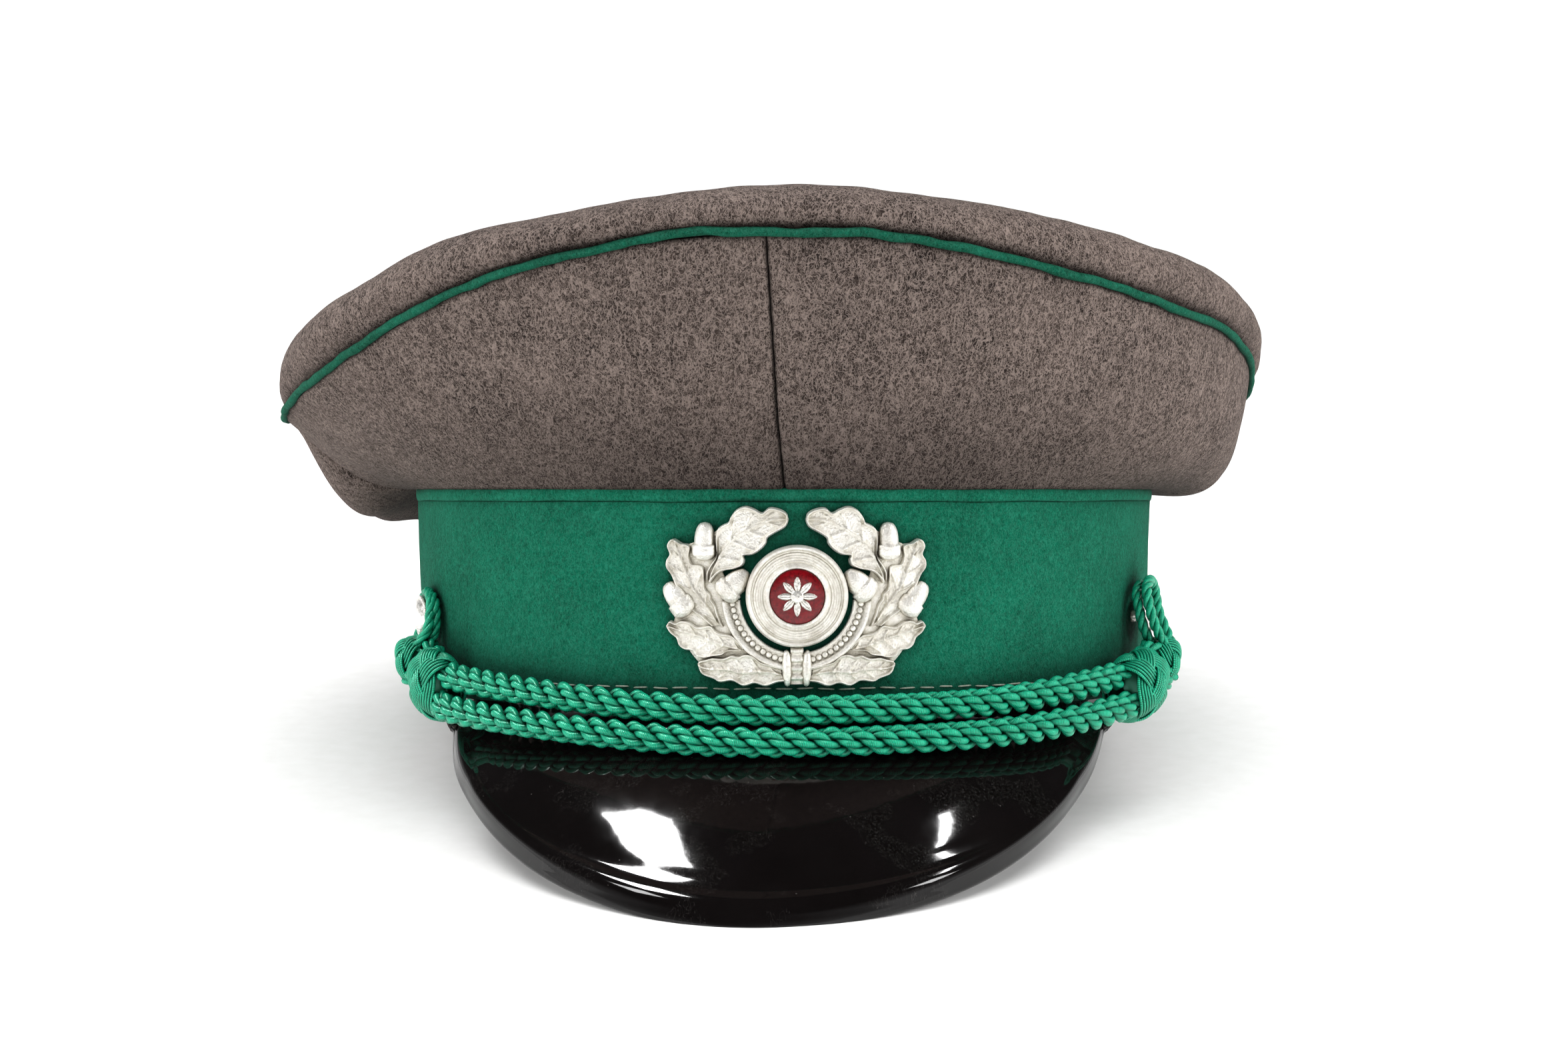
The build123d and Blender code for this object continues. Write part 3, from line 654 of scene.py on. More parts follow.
def visor_curve(angle):
    """Upper surface of the visor at one angle, as (outward, height) pairs from root to lip."""
    fade = max(cos(radians(90 * angle / VISOR_SPAN)), 0.0)
    reach = VISOR_REACH * fade**1.25
    drop = 4 + (VISOR_DROP - 4) * fade**0.95
    slope = np.array((reach, VISOR_ROOT - drop))
    proud = np.array((-slope[1], slope[0])) / max(hypot(*slope), 1e-6) * 2.2 * reach / VISOR_REACH
    points = [(-2.15, 0.5), (-1.72, -3.72)]
    points += [tuple(np.array((0, -VISOR_ROOT)) + slope * q + proud * 4 * q * (1 - q)) for q in
               (0.06, 0.3, 0.55, 0.8, 1.0)]
    return smooth_curve(points, UPPER_POINTS)


LIP = 8.2                                     # width of the rolled lip
VISOR_SHEET = 2.0


def along_and_normal(curve):
    along = unit(np.gradient(curve, axis=0))
    return along, np.stack([-along[:, 1], along[:, 0]], -1)


visor_angles = np.linspace(-58.6, 58.6, 150)
sections = []
for angle in visor_angles:
    curve = visor_curve(angle)
    normal = along_and_normal(curve)[1]
    length = np.r_[0, np.cumsum(np.linalg.norm(np.diff(curve, axis=0), axis=1))]
    lip = LIP * min(1.0, length[-1] / 26)
    beyond = length - (length[-1] - lip)
    rolled = 0.85 * np.sin(pi * clamp(beyond / lip))**1.6
    groove = -0.20 * np.exp(-((beyond + 1.5) / 2.4)**2)
    turned = -0.022 * np.clip(beyond, 0, None)**2
    upper = curve + normal * (rolled + groove + turned)[:, None] * min(1.0, length[-1] / 30)
    along, normal = along_and_normal(upper)
    tip, out_dir, down_dir = upper[-1], along[-1], -normal[-1]
    turn = np.linspace(0, pi, 9)[1:-1]
    edge = tip + np.outer(1 - np.cos(turn), down_dir) * 1.0 + np.outer(np.sin(turn), out_dir) * 0.9
    sections.append(np.vstack([upper, edge, (upper - normal * VISOR_SHEET)[::-1]]))
sections = np.array(sections)
turns = np.radians(visor_angles)
flat = oval(BAND_W, BAND_L, turns)[:, None] + oval_out(BAND_W, BAND_L, turns)[:, None] * sections[..., :1]
visor = np.concatenate([flat, sections[..., 1:]], -1)
VISOR_SKEW = 0.20                             # the worn visor's right half leans to the left as it goes down
visor[..., 0] -= VISOR_SKEW * np.maximum(-visor[..., 2], 0) * clamp((visor[..., 0] + 45) / 55)**1.5
visor[..., 0] += (np.exp(-((visor[..., 2] + 16) / 12)**2)
                  * (1.5 * clamp(visor[..., 0] / 40) - 2.9 * clamp(-visor[..., 0] / 40)))
under_floor = np.minimum(to_row(visor)[:, 2], 0) / MM
visor[..., 2] -= under_floor.reshape(visor.shape[:2])                    # the lip rests on the floor
piece = Shape().grid(visor).build("visor_shell", VISOR, "cap", ["visor"], "visor_black")
piece.data.materials.append(VISOR_UNDER)
ring = visor.shape[1]
for polygon in piece.data.polygons:
    columns = [v % ring for v in polygon.vertices]
    if len(columns) == 4 and min(columns) >= UPPER_POINTS + 4:
        polygon.material_index = 1

# --- the chin cord -------------------------------------------------------------------------------
END_Y = CORD_L - CORD_END_R
SIDE_R = (END_Y**2 + CORD_W**2 - CORD_END_R**2) / (2 * (CORD_W - CORD_END_R))
SIDE_X = SIDE_R - CORD_W
MEET = atan2(END_Y, SIDE_X)
CORD_UP = np.array((0.0, -sin(CORD_SLOPE), cos(CORD_SLOPE)))
CORD_BACK = np.array((0.0, cos(CORD_SLOPE), sin(CORD_SLOPE)))
CORD_ORIGIN = np.array((0.0, 0.0, CORD_Z))


def in_cord_plane(x, y, height):
    x, y, height = (np.asarray(value)[..., None] for value in (x, y, height))
    return CORD_ORIGIN + x * SIDE + y * CORD_BACK + height * CORD_UP


def cord_frame(s, step=0.0, level=0.0):
    """Place on the cord at s millimetres from the middle of the front, with directions out and up."""
    s = np.asarray(s, float)
    front = (CORD_END_R + step) * (pi / 2 - MEET)
    size, sign = np.abs(s), np.where(s < 0, -1.0, 1.0)
    on_front = size <= front
    a = size / (CORD_END_R + step)
    b = pi / 2 - MEET + (size - front) / (SIDE_R + step)
    x = np.where(on_front, (CORD_END_R + step) * np.sin(a), (SIDE_R + step) * np.sin(b) - SIDE_X) * sign
    y = np.where(on_front, -END_Y - (CORD_END_R + step) * np.cos(a), -(SIDE_R + step) * np.cos(b))
    turn = np.where(on_front, a, b)
    out = np.multiply.outer(np.sin(turn) * sign, SIDE) - np.multiply.outer(np.cos(turn), CORD_BACK)
    return in_cord_plane(x, y, np.broadcast_to(level, s.shape)), out


def side_angle_to_s(angle, step=0.0):
    """Distance along the cord from the front to a place on the side arc, angle in degrees."""
    return (CORD_END_R + step) * (pi / 2 - MEET) + (SIDE_R + step) * (MEET - radians(angle))


LAY, SUB_LAY = 14.85, 9.2
SUB_ROPE_OFFSET, YARN_OFFSET, YARN_R = 1.82, 0.86, 0.84


def laid_strand(shape, line, out, up, phase, rope_offset, yarn_offset, yarn_radius, lay, sub_lay, ropes=3,
                sides=8):
    """Cable-laid cord: ropes twisted round each other, each of three yarns twisted the other way."""
    length = np.r_[0, np.cumsum(np.linalg.norm(np.diff(line, axis=0), axis=1))]
    for rope in range(ropes):
        turn = -2 * pi * length / lay + 2 * pi * rope / ropes + phase
        centre = line + rope_offset * (np.cos(turn)[:, None] * out + np.sin(turn)[:, None] * up)
        for yarn in range(3):
            twist = 2 * pi * length / sub_lay + 2 * pi * yarn / 3 + rope * 0.7
            path = centre + yarn_offset * (np.cos(twist)[:, None] * out + np.sin(twist)[:, None] * up)
            shape.grid(tube(path, yarn_radius, sides, out), uv=tube_uv(path, sides))
    return shape


def smooth_step(x):
    x = clamp(x)
    return x * x * (3 - 2 * x)


def strand_line(step, level):
    """Line of one strand: closer to its neighbour at both ends, and lifted where it nears the small knots."""
    reach = side_angle_to_s(SMALL_KNOT_ANGLE + 0.6, step)
    s = np.linspace(-reach, reach, 620)
    gather = smooth_step((np.abs(s) - side_angle_to_s(36)) / 14)
    lift = 3.4 * smooth_step((np.abs(s) - side_angle_to_s(31)) / 13)
    slack = 0.25 * np.sin(s / 31 + level) + 0.18 * np.sin(s / 12.5 + 2 * level)
    height = level * (1 - 0.12 * gather) + lift + slack * (1 - gather)
    line, out = cord_frame(s, step, height)
    tucked = 2.8 * smooth_step((-s - side_angle_to_s(35)) / 9)              # in behind the left knots
    return line - out * tucked[:, None], out


for name, step, level, phase in (("cord_upper", 0.0, STRAND_SPREAD, 0.4),
                                 ("cord_lower", STRAND_STEP, -STRAND_SPREAD, 1.7)):
    line, out = strand_line(step, level)
    shape = laid_strand(Shape(), line, out, CORD_UP, phase, SUB_ROPE_OFFSET, YARN_OFFSET, YARN_R, LAY,
                        SUB_LAY)
    shape.build(f"{name}_plait", CORD, "chin_cord", [name], "cord_green", outward=False)


def barrel(side, angle, inward, lift, tilt, long_radius, u_radius, v_radius):
    """Maps (distance along the cord, turn, height over the surface) to points round a knot."""
    middle_s = side_angle_to_s(angle, STRAND_STEP / 2) * side

    def place(along, turn, over):
        s = middle_s + side * along
        centre, out = cord_frame(s, STRAND_STEP / 2, lift + tilt * along)
        shrink = np.sqrt(np.maximum(1 - (along / long_radius)**2 * 0.42, 0.05))
        u = (u_radius * shrink + over) * np.cos(turn) - inward
        v = (v_radius * shrink + over) * np.sin(turn)
        return centre + out * u[..., None] + CORD_UP * v[..., None]
    return place


def woven_knot(name, place, half_length, girth, leads, bights, threads, pitch, body, node_name):
    """Turk's head: one band of parallel threads that crosses over and under itself round a barrel."""
    shape = Shape()
    t = np.linspace(0, 2 * pi, 700, endpoint=False)
    reach = half_length - pitch * threads / 2
    along, turn = reach * np.cos(bights * t), leads * t
    speed_along = -reach * bights * np.sin(bights * t)
    speed_turn = leads * girth / (2 * pi)
    norm = np.hypot(speed_along, speed_turn)
    for index in range(threads):
        offset = (index - (threads - 1) / 2) * pitch
        a = along + offset * speed_turn / norm
        w = turn - offset * speed_along / norm / (girth / (2 * pi))
        over = 0.56 * pitch * np.sin((leads - 1) * bights * t)
        line = place(a, w, over)
        ring = tube(line, pitch * 0.44, 8, line - place(a, w, over - 1.0), loop=True)
        length = np.arange(len(t)) * np.linalg.norm(line[1] - line[0])
        uv = np.stack(np.meshgrid(length, np.arange(8) / 8, indexing="ij"), -1)
        shape.grid(ring, loop_u=True, uv=uv)
    shape.build(name, CORD, body, [node_name], "cord_green", outward=False)
    share, turn = np.meshgrid(np.linspace(-1, 1, 26), np.linspace(0, 2 * pi, 40, endpoint=False),
                              indexing="ij")
    closing = -0.7 * pitch - girth / 8 * np.abs(share)**9
    # core under the threads, in the shaded copy of the cord
    core = Shape().grid(place(share * (half_length - 0.5), turn, closing))
    core.build(name + "_core", CORD_CORE_SHADED, body, slot="cord_green")


# side, name, then (inward shift, half length, radial radius) of the large and of the small knot
for side, name, large, small in ((1, "right", (0.0, 7.8, 5.9), (0.0, 4.7, 4.3)),
                                 (-1, "left", (1.3, 6.8, 5.2), (1.6, 4.2, 3.9))):
    inward, half, radial = large
    place = barrel(side, KNOT_ANGLE, inward, 0.3, 0.10, half + 0.3, radial, 7.7)
    woven_knot(f"slide_knot_{name}_weave", place, half, 44.0, 4, 5, 6, 0.86,
               f"slide_knot_{name}", f"slide_knot_{name}")
    inward, half, radial = small
    place = barrel(side, SMALL_KNOT_ANGLE, inward, 3.6, 0.30, half, radial, 4.9)
    woven_knot(f"loop_knot_{name}_weave", place, half, 29.0, 3, 4, 5, 0.78, "chin_cord", f"loop_knot_{name}")

# --- side buttons and their loops ----------------------------------------------------------------
def wall_axes(angle, height):
    """Origin on the wall with directions along the band, up the wall and straight out."""
    grow = FLARE * height / BAND_H
    width, length = BAND_W + grow, BAND_L + grow
    origin = np.array((width * sin(angle), -length * cos(angle), height))
    lean = atan2(FLARE, BAND_H)
    flat = unit((length * sin(angle), -width * cos(angle), 0))
    out = flat * cos(lean) - Z * sin(lean)
    along = unit((width * cos(angle), length * sin(angle), 0))
    return origin, along, np.cross(out, along), out


def on_axes(axes, x, y, h):
    """Points at x along the band, y up the wall and h straight out."""
    origin, along, up, out = axes
    x, y, h = (value[..., None] for value in np.broadcast_arrays(np.asarray(x, float), y, h))
    return origin + x * along + y * up + h * out


def lathe(axes, profile, steps, strokes=0.0):
    """Profile of (radius, height) pairs turned round an axis, with strokes added to its height."""
    turn = np.linspace(0, 2 * pi, steps, endpoint=False)
    radius, height = np.asarray(profile, float).T[..., None]
    return on_axes(axes, radius * np.cos(turn), radius * np.sin(turn), height + strokes)


BUTTON_HEAD = [(1.4, 0.0), (1.4, 3.1), (4.6, 3.2), (5.0, 3.35), (5.2, 3.65), (5.15, 3.95), (4.9, 4.15),
               (4.55, 4.1), (4.35, 4.0), (4.1, 4.15), (3.6, 4.6), (2.8, 5.05), (2.0, 5.3), (1.0, 5.5),
               (0.4, 5.55), (0.05, 5.56)]
# each loop is a doubled cord: (towards the front, up, out) from the small knot, round the button and back
LOOPS = {"right": ([(1.0, -9.4, 7.8), (4.4, -6.6, 6.6), (6.6, -2.4, 4.8), (6.8, 1.8, 3.6), (5.2, 5.6, 2.4),
                    (0, 7.6, 1.9), (-5.0, 5.4, 1.9), (-6.8, 0.4, 2.6), (-6.4, -4.0, 5.4), (-3.6, -7.6, 8.0),
                    (-1.2, -9.4, 8.6)],
                   [(1.2, -9.0, 10.4), (4.6, -6.0, 9.4), (6.6, -1.8, 7.6), (7.0, 2.8, 6.0), (5.4, 6.8, 4.8),
                    (0, 8.9, 4.2), (-5.6, 6.6, 4.0), (-7.4, 1.2, 4.8), (-6.8, -3.6, 7.2), (-3.8, -7.4, 9.8),
                    (-1.4, -9.0, 11.0)]),
         "left": ([(1.4, -10.0, 6.6), (4.6, -7.4, 4.6), (6.2, -4.0, 2.4), (6.6, 0.4, 1.8), (5.0, 4.0, 1.7),
                   (0, 5.8, 1.7), (-5.2, 4.0, 1.7), (-6.6, 0, 1.8), (-6.0, -4.6, 3.0), (-3.6, -8.0, 5.4),
                   (-1.4, -10.0, 7.0)],
                  [(2.6, -9.6, 8.8), (5.6, -6.8, 6.8), (6.9, -3.0, 4.2), (6.6, 0.6, 3.2), (4.9, 4.0, 2.4),
                   (0, 5.9, 1.8), (-5.4, 4.0, 1.6), (-7.6, 0.2, 1.6), (-7.0, -4.8, 2.8), (-4.4, -8.4, 6.0),
                   (-2.2, -9.8, 8.8)])}
LOOP_LAY, LOOP_SUB_LAY, LOOP_YARN_OFFSET, LOOP_YARN_R = 9.0, 8.0, 0.66, 0.70
for side, name in ((1, "right"), (-1, "left")):
    axes = wall_axes(side * radians(BUTTON_ANGLE), BUTTON_Z)
    Shape().grid(lathe(axes, smooth_curve(BUTTON_HEAD, 60), 64)).build(
        f"side_button_{name}_dome", SILVER_BRIGHT, f"button_{name}", [f"side_button_{name}"], "silver")
    origin, along, up, out = axes
    shape = Shape()
    for ends in LOOPS[name]:
        path = smooth_curve([origin - side * along * f + up * b + out * c for f, b, c in ends], 110)
        across = np.cross(unit(np.gradient(path, axis=0)), out)
        laid_strand(shape, path, np.broadcast_to(out, path.shape), across, 0.0, 0.0, LOOP_YARN_OFFSET,
                    LOOP_YARN_R,
                    LOOP_LAY, LOOP_SUB_LAY, ropes=1)
    shape.build(f"button_loop_{name}_cord", CORD, "chin_cord", [f"button_loop_{name}"], "cord_green",
                outward=False)

# --- the badge -----------------------------------------------------------------------------------
BADGE = wall_axes(radians(BADGE_ANGLE), BADGE_Z)
BADGE_BACK = 0.45                             # back of the wreath, out from the wall


def on_badge(x, y, h):
    """Badge plane to the cap: x along the band, y up, h out from the wall, bent round the band."""
    turn = np.asarray(x, float) / (WALL_CURVE + 1.4)
    return on_axes(BADGE, (WALL_CURVE + h) * np.sin(turn), y, (WALL_CURVE + h) * np.cos(turn) - WALL_CURVE)


LEAVES = [  # middle rib, outline on its left and outline on its right, from base to tip; height of the leaf
    ([(-19.7, 3.2), (-18.8, 5.9), (-17.3, 8.9), (-15.8, 11.3), (-13.4, 13.6), (-10.5, 15.3), (-6.3, 17.0),
      (-1.9, 17.3)],
     [(-20.4, 3.8), (-20.3, 5.6), (-19.2, 7.4), (-17.9, 9.2), (-18.1, 11.2), (-18.2, 13.3), (-17.9, 15.0),
      (-16.7, 16.0), (-15.4, 16.6), (-14.9, 17.8), (-13.6, 19.4), (-11.6, 20.2), (-9.6, 19.6), (-7.8, 18.8),
      (-6.2, 19.9), (-4.0, 19.6), (-2.4, 18.7),
      (-1.9, 17.3)],
     [(-19.4, 2.8), (-17.9, 4.7), (-16.4, 5.6), (-14.0, 6.0), (-12.2, 6.8), (-11.7, 8.0), (-11.9, 9.0),
      (-9.9, 9.3), (-8.1, 10.4), (-6.9, 11.8), (-6.6, 13.0), (-4.8, 14.2), (-2.7, 15.4), (-2.0, 16.6),
      (-1.9, 17.3)],
     1.25),
    ([(-17.6, -6.6), (-19.7, -3.3), (-21.8, -0.7), (-23.9, 2.0), (-25.0, 4.7), (-26.2, 7.7), (-27.4, 10.4),
      (-28.0, 12.7)],
     [(-19.4, -6.9), (-21.8, -4.8), (-24.4, -3.0), (-26.2, -0.1), (-27.7, 2.0), (-28.2, 3.2), (-28.9, 4.7),
      (-30.0, 6.2), (-30.0, 7.7), (-29.2, 9.2), (-29.8, 11.0), (-29.2, 12.3),
      (-28.0, 12.7)],
     [(-16.4, -6.9), (-17.6, -4.2), (-18.2, -2.1), (-19.2, -0.7), (-19.4, 0.5), (-20.6, 1.7), (-20.7, 3.8),
      (-20.9, 6.2), (-21.8, 6.9), (-23.6, 7.1), (-24.3, 8.9), (-24.0, 10.7), (-24.7, 11.5), (-26.2, 11.7),
      (-27.4, 12.4),
      (-28.0, 12.7)], 0.85),
    ([(-12.2, -12.0), (-15.2, -11.5), (-18.8, -10.3), (-22.4, -9.1), (-26.8, -7.9), (-29.8, -6.9)],
     [(-12.8, -12.3), (-15.8, -12.6), (-17.0, -13.5), (-19.1, -13.8), (-20.9, -14.2), (-22.7, -13.8),
      (-23.6, -12.6), (-25.6, -12.3), (-26.8, -11.4), (-27.4, -9.9), (-28.9, -8.7), (-29.7, -7.5),
      (-29.8, -6.9)],
     [(-11.7, -11.5), (-13.1, -9.9), (-14.6, -8.7), (-16.7, -8.4), (-18.2, -7.8), (-19.4, -6.6),
      (-21.2, -6.9), (-22.7, -6.9), (-24.2, -5.9), (-26.2, -5.6), (-27.6, -6.2), (-29.0, -5.8),
      (-29.8, -6.9)], 1.05),
    ([(-3.3, -17.6), (-7.5, -17.0), (-12.8, -17.2), (-15.2, -16.6), (-20.6, -16.4), (-22.4, -15.2)],
     [(-2.6, -19.2), (-4.5, -19.5), (-7.0, -20.3), (-9.5, -19.7), (-12.0, -20.3), (-14.5, -19.2),
      (-17.3, -19.5), (-18.8, -18.8), (-21.2, -17.9), (-22.1, -16.7),
      (-22.4, -15.2)],
     [(-3.6, -15.8), (-6.0, -15.2), (-8.1, -14.6), (-9.9, -13.2), (-11.7, -13.0), (-13.1, -13.5),
      (-14.6, -13.2), (-16.4, -13.9), (-18.8, -13.8), (-20.3, -14.2), (-21.8, -14.6),
      (-22.4, -15.2)], 1.2)]


def leaf(shape, rib, left, right, height, mirror):
    """Oak leaf in relief: rolled rim, middle rib, side veins and a stippled ground."""
    rows = 90
    rib, left, right = (smooth_curve(line, rows) for line in (rib, left, right))
    u = np.linspace(0, 1, 24)
    w = 1 - (1 - u)**1.7                              # closer together towards the rim
    w = np.r_[-w[:0:-1], w]
    size = np.abs(w)[None, :, None]
    outline = np.where(w[None, :, None] < 0, left[:, None], right[:, None])
    flat = rib[:, None] * (1 - size) + outline * size
    half = np.linalg.norm(outline - rib[:, None], axis=-1)
    s = np.linspace(0, 1, rows)[:, None]
    width = np.abs(w)[None, :]
    from_edge, from_rib = (1 - width) * half, width * half
    ends = clamp(np.minimum(s, 1 - s) / 0.04)
    veins = 0.0
    for vein in np.linspace(0.05, 0.78, 5):
        line = np.exp(-((s - vein - 0.15 * width) * 90 / rows / 0.014)**2) * clamp(from_edge - 0.6)
        veins = np.maximum(veins, line)
    relief = (0.80 * np.exp(-((from_edge - 0.40) / 0.30)**2) + 0.62 * np.exp(-(from_rib / 0.24)**2) * ends
              + 0.40 * veins - 0.75 * clamp(1 - from_edge / 0.3)**2)
    stipple = 0.07 * waves(flat, 0.75, 60) * clamp(from_edge - 0.7)
    h = 0.35 + height + relief + stipple
    x = flat[..., 0] * (-1 if mirror else 1)
    shape.between(on_badge(x, flat[..., 1], h), on_badge(x, flat[..., 1], BADGE_BACK))


def dome_piece(shape, start, end, width, base, height, cup, mirror):
    """Acorn in relief, lying along a line; cup is the share of its length inside the cup."""
    start, end = np.array(start, float), np.array(end, float)
    along = end - start
    across = unit((-along[1], along[0]))
    t, turn = np.meshgrid(np.linspace(0, 1, 34), np.linspace(0, pi, 25), indexing="ij")
    swell = np.sqrt(clamp(1 - (2 * t - 1)**2))**0.8
    if cup:
        swell = np.where(t < cup, np.clip(swell * 1.3 + 0.16, 0, 1.2), swell)
    flat = start + t[..., None] * along + across * (np.cos(turn) * swell * width / 2)[..., None]
    rough = 0.24 * np.abs(np.sin(flat[..., 0] * 3.6) * np.sin(flat[..., 1] * 3.6)) * (t < cup)
    h = base + np.sin(turn) * swell * height + rough
    x = flat[..., 0] * (-1 if mirror else 1)
    shape.between(on_badge(x, flat[..., 1], h), on_badge(x, flat[..., 1], BADGE_BACK))


def bead(shape, x, y, base, radius):
    t, turn = np.meshgrid(np.linspace(0.02, pi / 2, 7), np.linspace(0, 2 * pi, 12, endpoint=False),
                          indexing="ij")
    shape.grid(on_badge(x + radius * np.sin(t) * np.cos(turn), y + radius * np.sin(t) * np.sin(turn),
                        base + radius * 0.8 * np.cos(t)))


GROUND_INNER = [(-0.6, -13.0), (-4.6, -12.2), (-8.6, -9.8), (-11.5, -6.2), (-12.9, -1.8), (-15.0, 2.0),
                (-17.0, 6.0), (-16.0, 10.0), (-13.0, 14.0), (-8.0, 17.0)]
GROUND_OUTER = [(-0.6, -18.4), (-8.0, -19.0), (-16.0, -18.4), (-21.4, -15.8), (-25.2, -11.5), (-28.2, -7.4),
                (-27.4, -3.0), (-27.6, 3.0), (-28.2, 9.0), (-25.5, 11.0), (-20.0, 13.5), (-13.0, 18.0)]
# section of the wreath's stem: distance from the middle of the cockade, height
STEM = np.array([(12.8, 0.5), (12.85, 1.5), (13.1, 1.8), (13.5, 1.4), (14.8, 1.35), (15.5, 1.45), (15.8, 2.1),
                 (16.3, 2.3), (16.8, 2.1), (17.0, 0.5)])
BEAD_RING = 14.6                              # radius of the ring of beads on the stem
# acorns: start, end, width, base, height and the share of the length inside the cup
ACORNS = [((-21.0, 7.9), (-20.9, 16.5), 4.7, 1.0, 1.9, 0.42),
          ((-24.6, -4.4), (-30.0, 2.6), 4.9, 1.0, 1.9, 0.45),
          ((-17.2, -0.2), (-11.0, 5.4), 5.3, 1.1, 2.0, 0.42),
          ((-2.3, -12.0), (-2.1, -20.3), 2.3, 1.3, 1.5, 0.0)]

wreath = Shape()
for mirror in (False, True):
    inner_edge, outer_edge = smooth_curve(GROUND_INNER, 70), smooth_curve(GROUND_OUTER, 70)
    share = np.linspace(0, 1, 12)[None, :, None]
    ground = inner_edge[:, None] * (1 - share) + outer_edge[:, None] * share
    x, y = ground[..., 0] * (-1 if mirror else 1), ground[..., 1]
    wreath.between(on_badge(x, y, 1.0 + 0.10 * waves(ground, 0.9, 61)), on_badge(x, y, BADGE_BACK))
    sign = -1 if mirror else 1
    for rib, left, right, height in LEAVES:
        leaf(wreath, rib, left, right, height, mirror)
    for acorn in ACORNS:
        dome_piece(wreath, *acorn, mirror)
    a = np.radians(np.linspace(184, 264, 44))
    wreath.grid(on_badge(sign * np.outer(np.cos(a), STEM[:, 0]), np.outer(np.sin(a), STEM[:, 0]), STEM[:, 1]))
    for angle in np.radians(np.linspace(187, 256, 13)):
        bead(wreath, sign * BEAD_RING * cos(angle), BEAD_RING * sin(angle), 1.4, 0.72)
tie_y = np.linspace(-19.7, -11.4, 40)
tie_x = np.array((-1.45, -1.4, -1.2, -0.8, 0, 0.8, 1.2, 1.4, 1.45))
ridge = 1.75 + 0.30 * np.cos(tie_y * 3.1)[:, None] + 0.5 * np.sqrt(clamp(1 - (tie_x / 1.5)**2))[None, :]
ridge[:, [0, -1]] = 0.5
x, y = np.meshgrid(tie_x, tie_y)
wreath.grid(on_badge(x, y, ridge))
wreath.build("badge_wreath_relief", SILVER, "cap", ["badge_wreath"], "silver")

# cockade: a dished ring with fine concentric ridges, a raised collar and a flat seat for the enamel
radii = np.r_[np.linspace(ENAMEL_R + 1.1, COCKADE_R - 0.5, 84), COCKADE_R - 0.3, COCKADE_R - 0.1, COCKADE_R]
ridges = 0.08 * np.cos((radii - 7.3) * 2 * pi / 0.60) * clamp((10.4 - radii) / 0.3)
grooves = 2.45 + 0.25 * np.sqrt(clamp(1 - ((radii - 8.8) / 3.4)**2)) + ridges
grooves += 0.75 * np.sqrt(clamp(1 - ((radii - 10.95) / 0.56)**2))         # smooth raised rim
grooves[-3:] = (2.9, 2.4, 1.7)
collar = [(ENAMEL_R + 0.02, 2.6), (ENAMEL_R + 0.1, 3.15), (ENAMEL_R + 0.35, 3.38), (ENAMEL_R + 0.7, 3.3),
          (ENAMEL_R + 0.95, 2.9)]
face = np.array([(0.05, 2.45), (ENAMEL_R - 0.1, 2.45), *collar, *zip(radii, grooves), (COCKADE_R, 0.5),
                 (0.05, 0.5)])
DISC_STEPS = 180
turn = np.linspace(0, 2 * pi, DISC_STEPS, endpoint=False)
outer_part = clamp((face[:, :1] - 7.3) / 0.5) * clamp((11.2 - face[:, :1]) / 0.5)
strokes = 0.05 * np.sin(turn * 90)[None, :] * outer_part
Shape().grid(lathe(BADGE, face, DISC_STEPS, strokes)).build(
    "badge_cockade_face", SILVER, "cap", ["badge_cockade"], "silver")

disc = [(0.05, 2.5), (ENAMEL_R - 0.06, 2.5), (ENAMEL_R - 0.06, 2.9), (ENAMEL_R - 0.3, 3.02), (4.0, 3.08),
        (2.0, 3.1), (0.05, 3.1)]
Shape().grid(lathe(BADGE, disc, DISC_STEPS)).build(
    "badge_enamel_disc", ENAMEL, "cap", ["badge_enamel"], "enamel_red")

# rosette: eight plain petals and a boss, standing on the enamel
rosette = Shape()
t, w = np.meshgrid(np.linspace(0, 1, 15), np.linspace(-1, 1, 11), indexing="ij")
for petal in range(8):
    heading = petal * pi / 4
    half = 0.82 * np.sin(pi * clamp(t * 0.94 + 0.03))**0.7
    u, v = 0.8 + 3.6 * t, w * half
    h = 3.12 + 0.34 * np.sqrt(clamp(1 - w**2)) - 0.14 * np.exp(-(w / 0.14)**2)
    x, y = u * cos(heading) - v * sin(heading), u * sin(heading) + v * cos(heading)
    rosette.between(on_axes(BADGE, x, y, h), on_axes(BADGE, x, y, 3.02))
boss = [(1.5, 3.02), (1.5, 3.3), (1.3, 3.5), (0.8, 3.66), (0.3, 3.7), (0.05, 3.7)]
rosette.grid(lathe(BADGE, boss, DISC_STEPS))
rosette.build("badge_rosette_petals", SILVER_BRIGHT, "cap", ["badge_rosette"], "silver")

# --- inside --------------------------------------------------------------------------------------
sweat = band_ring([(-4.85, 1.0), (-4.6, 0.4), (-5.2, 0.0), (-5.9, 0.6), (-6.0, 3.0), (-6.05, 14.0),
                   (-6.05, 28.0), (-6.0, 40.0), (-5.6, 42.0), (-4.95, 41.8), (-4.85, 30.0), (-4.85, 14.0)])
Shape().grid(sweat, loop_u=True).build("sweatband_leather", LEATHER, "cap", ["sweatband"], "leather_brown")
stitch_row(3.4, -6.15, 4.0, 2.9, 0.4).build("sweatband_stitches", THREAD, "cap", slot="leather_brown")

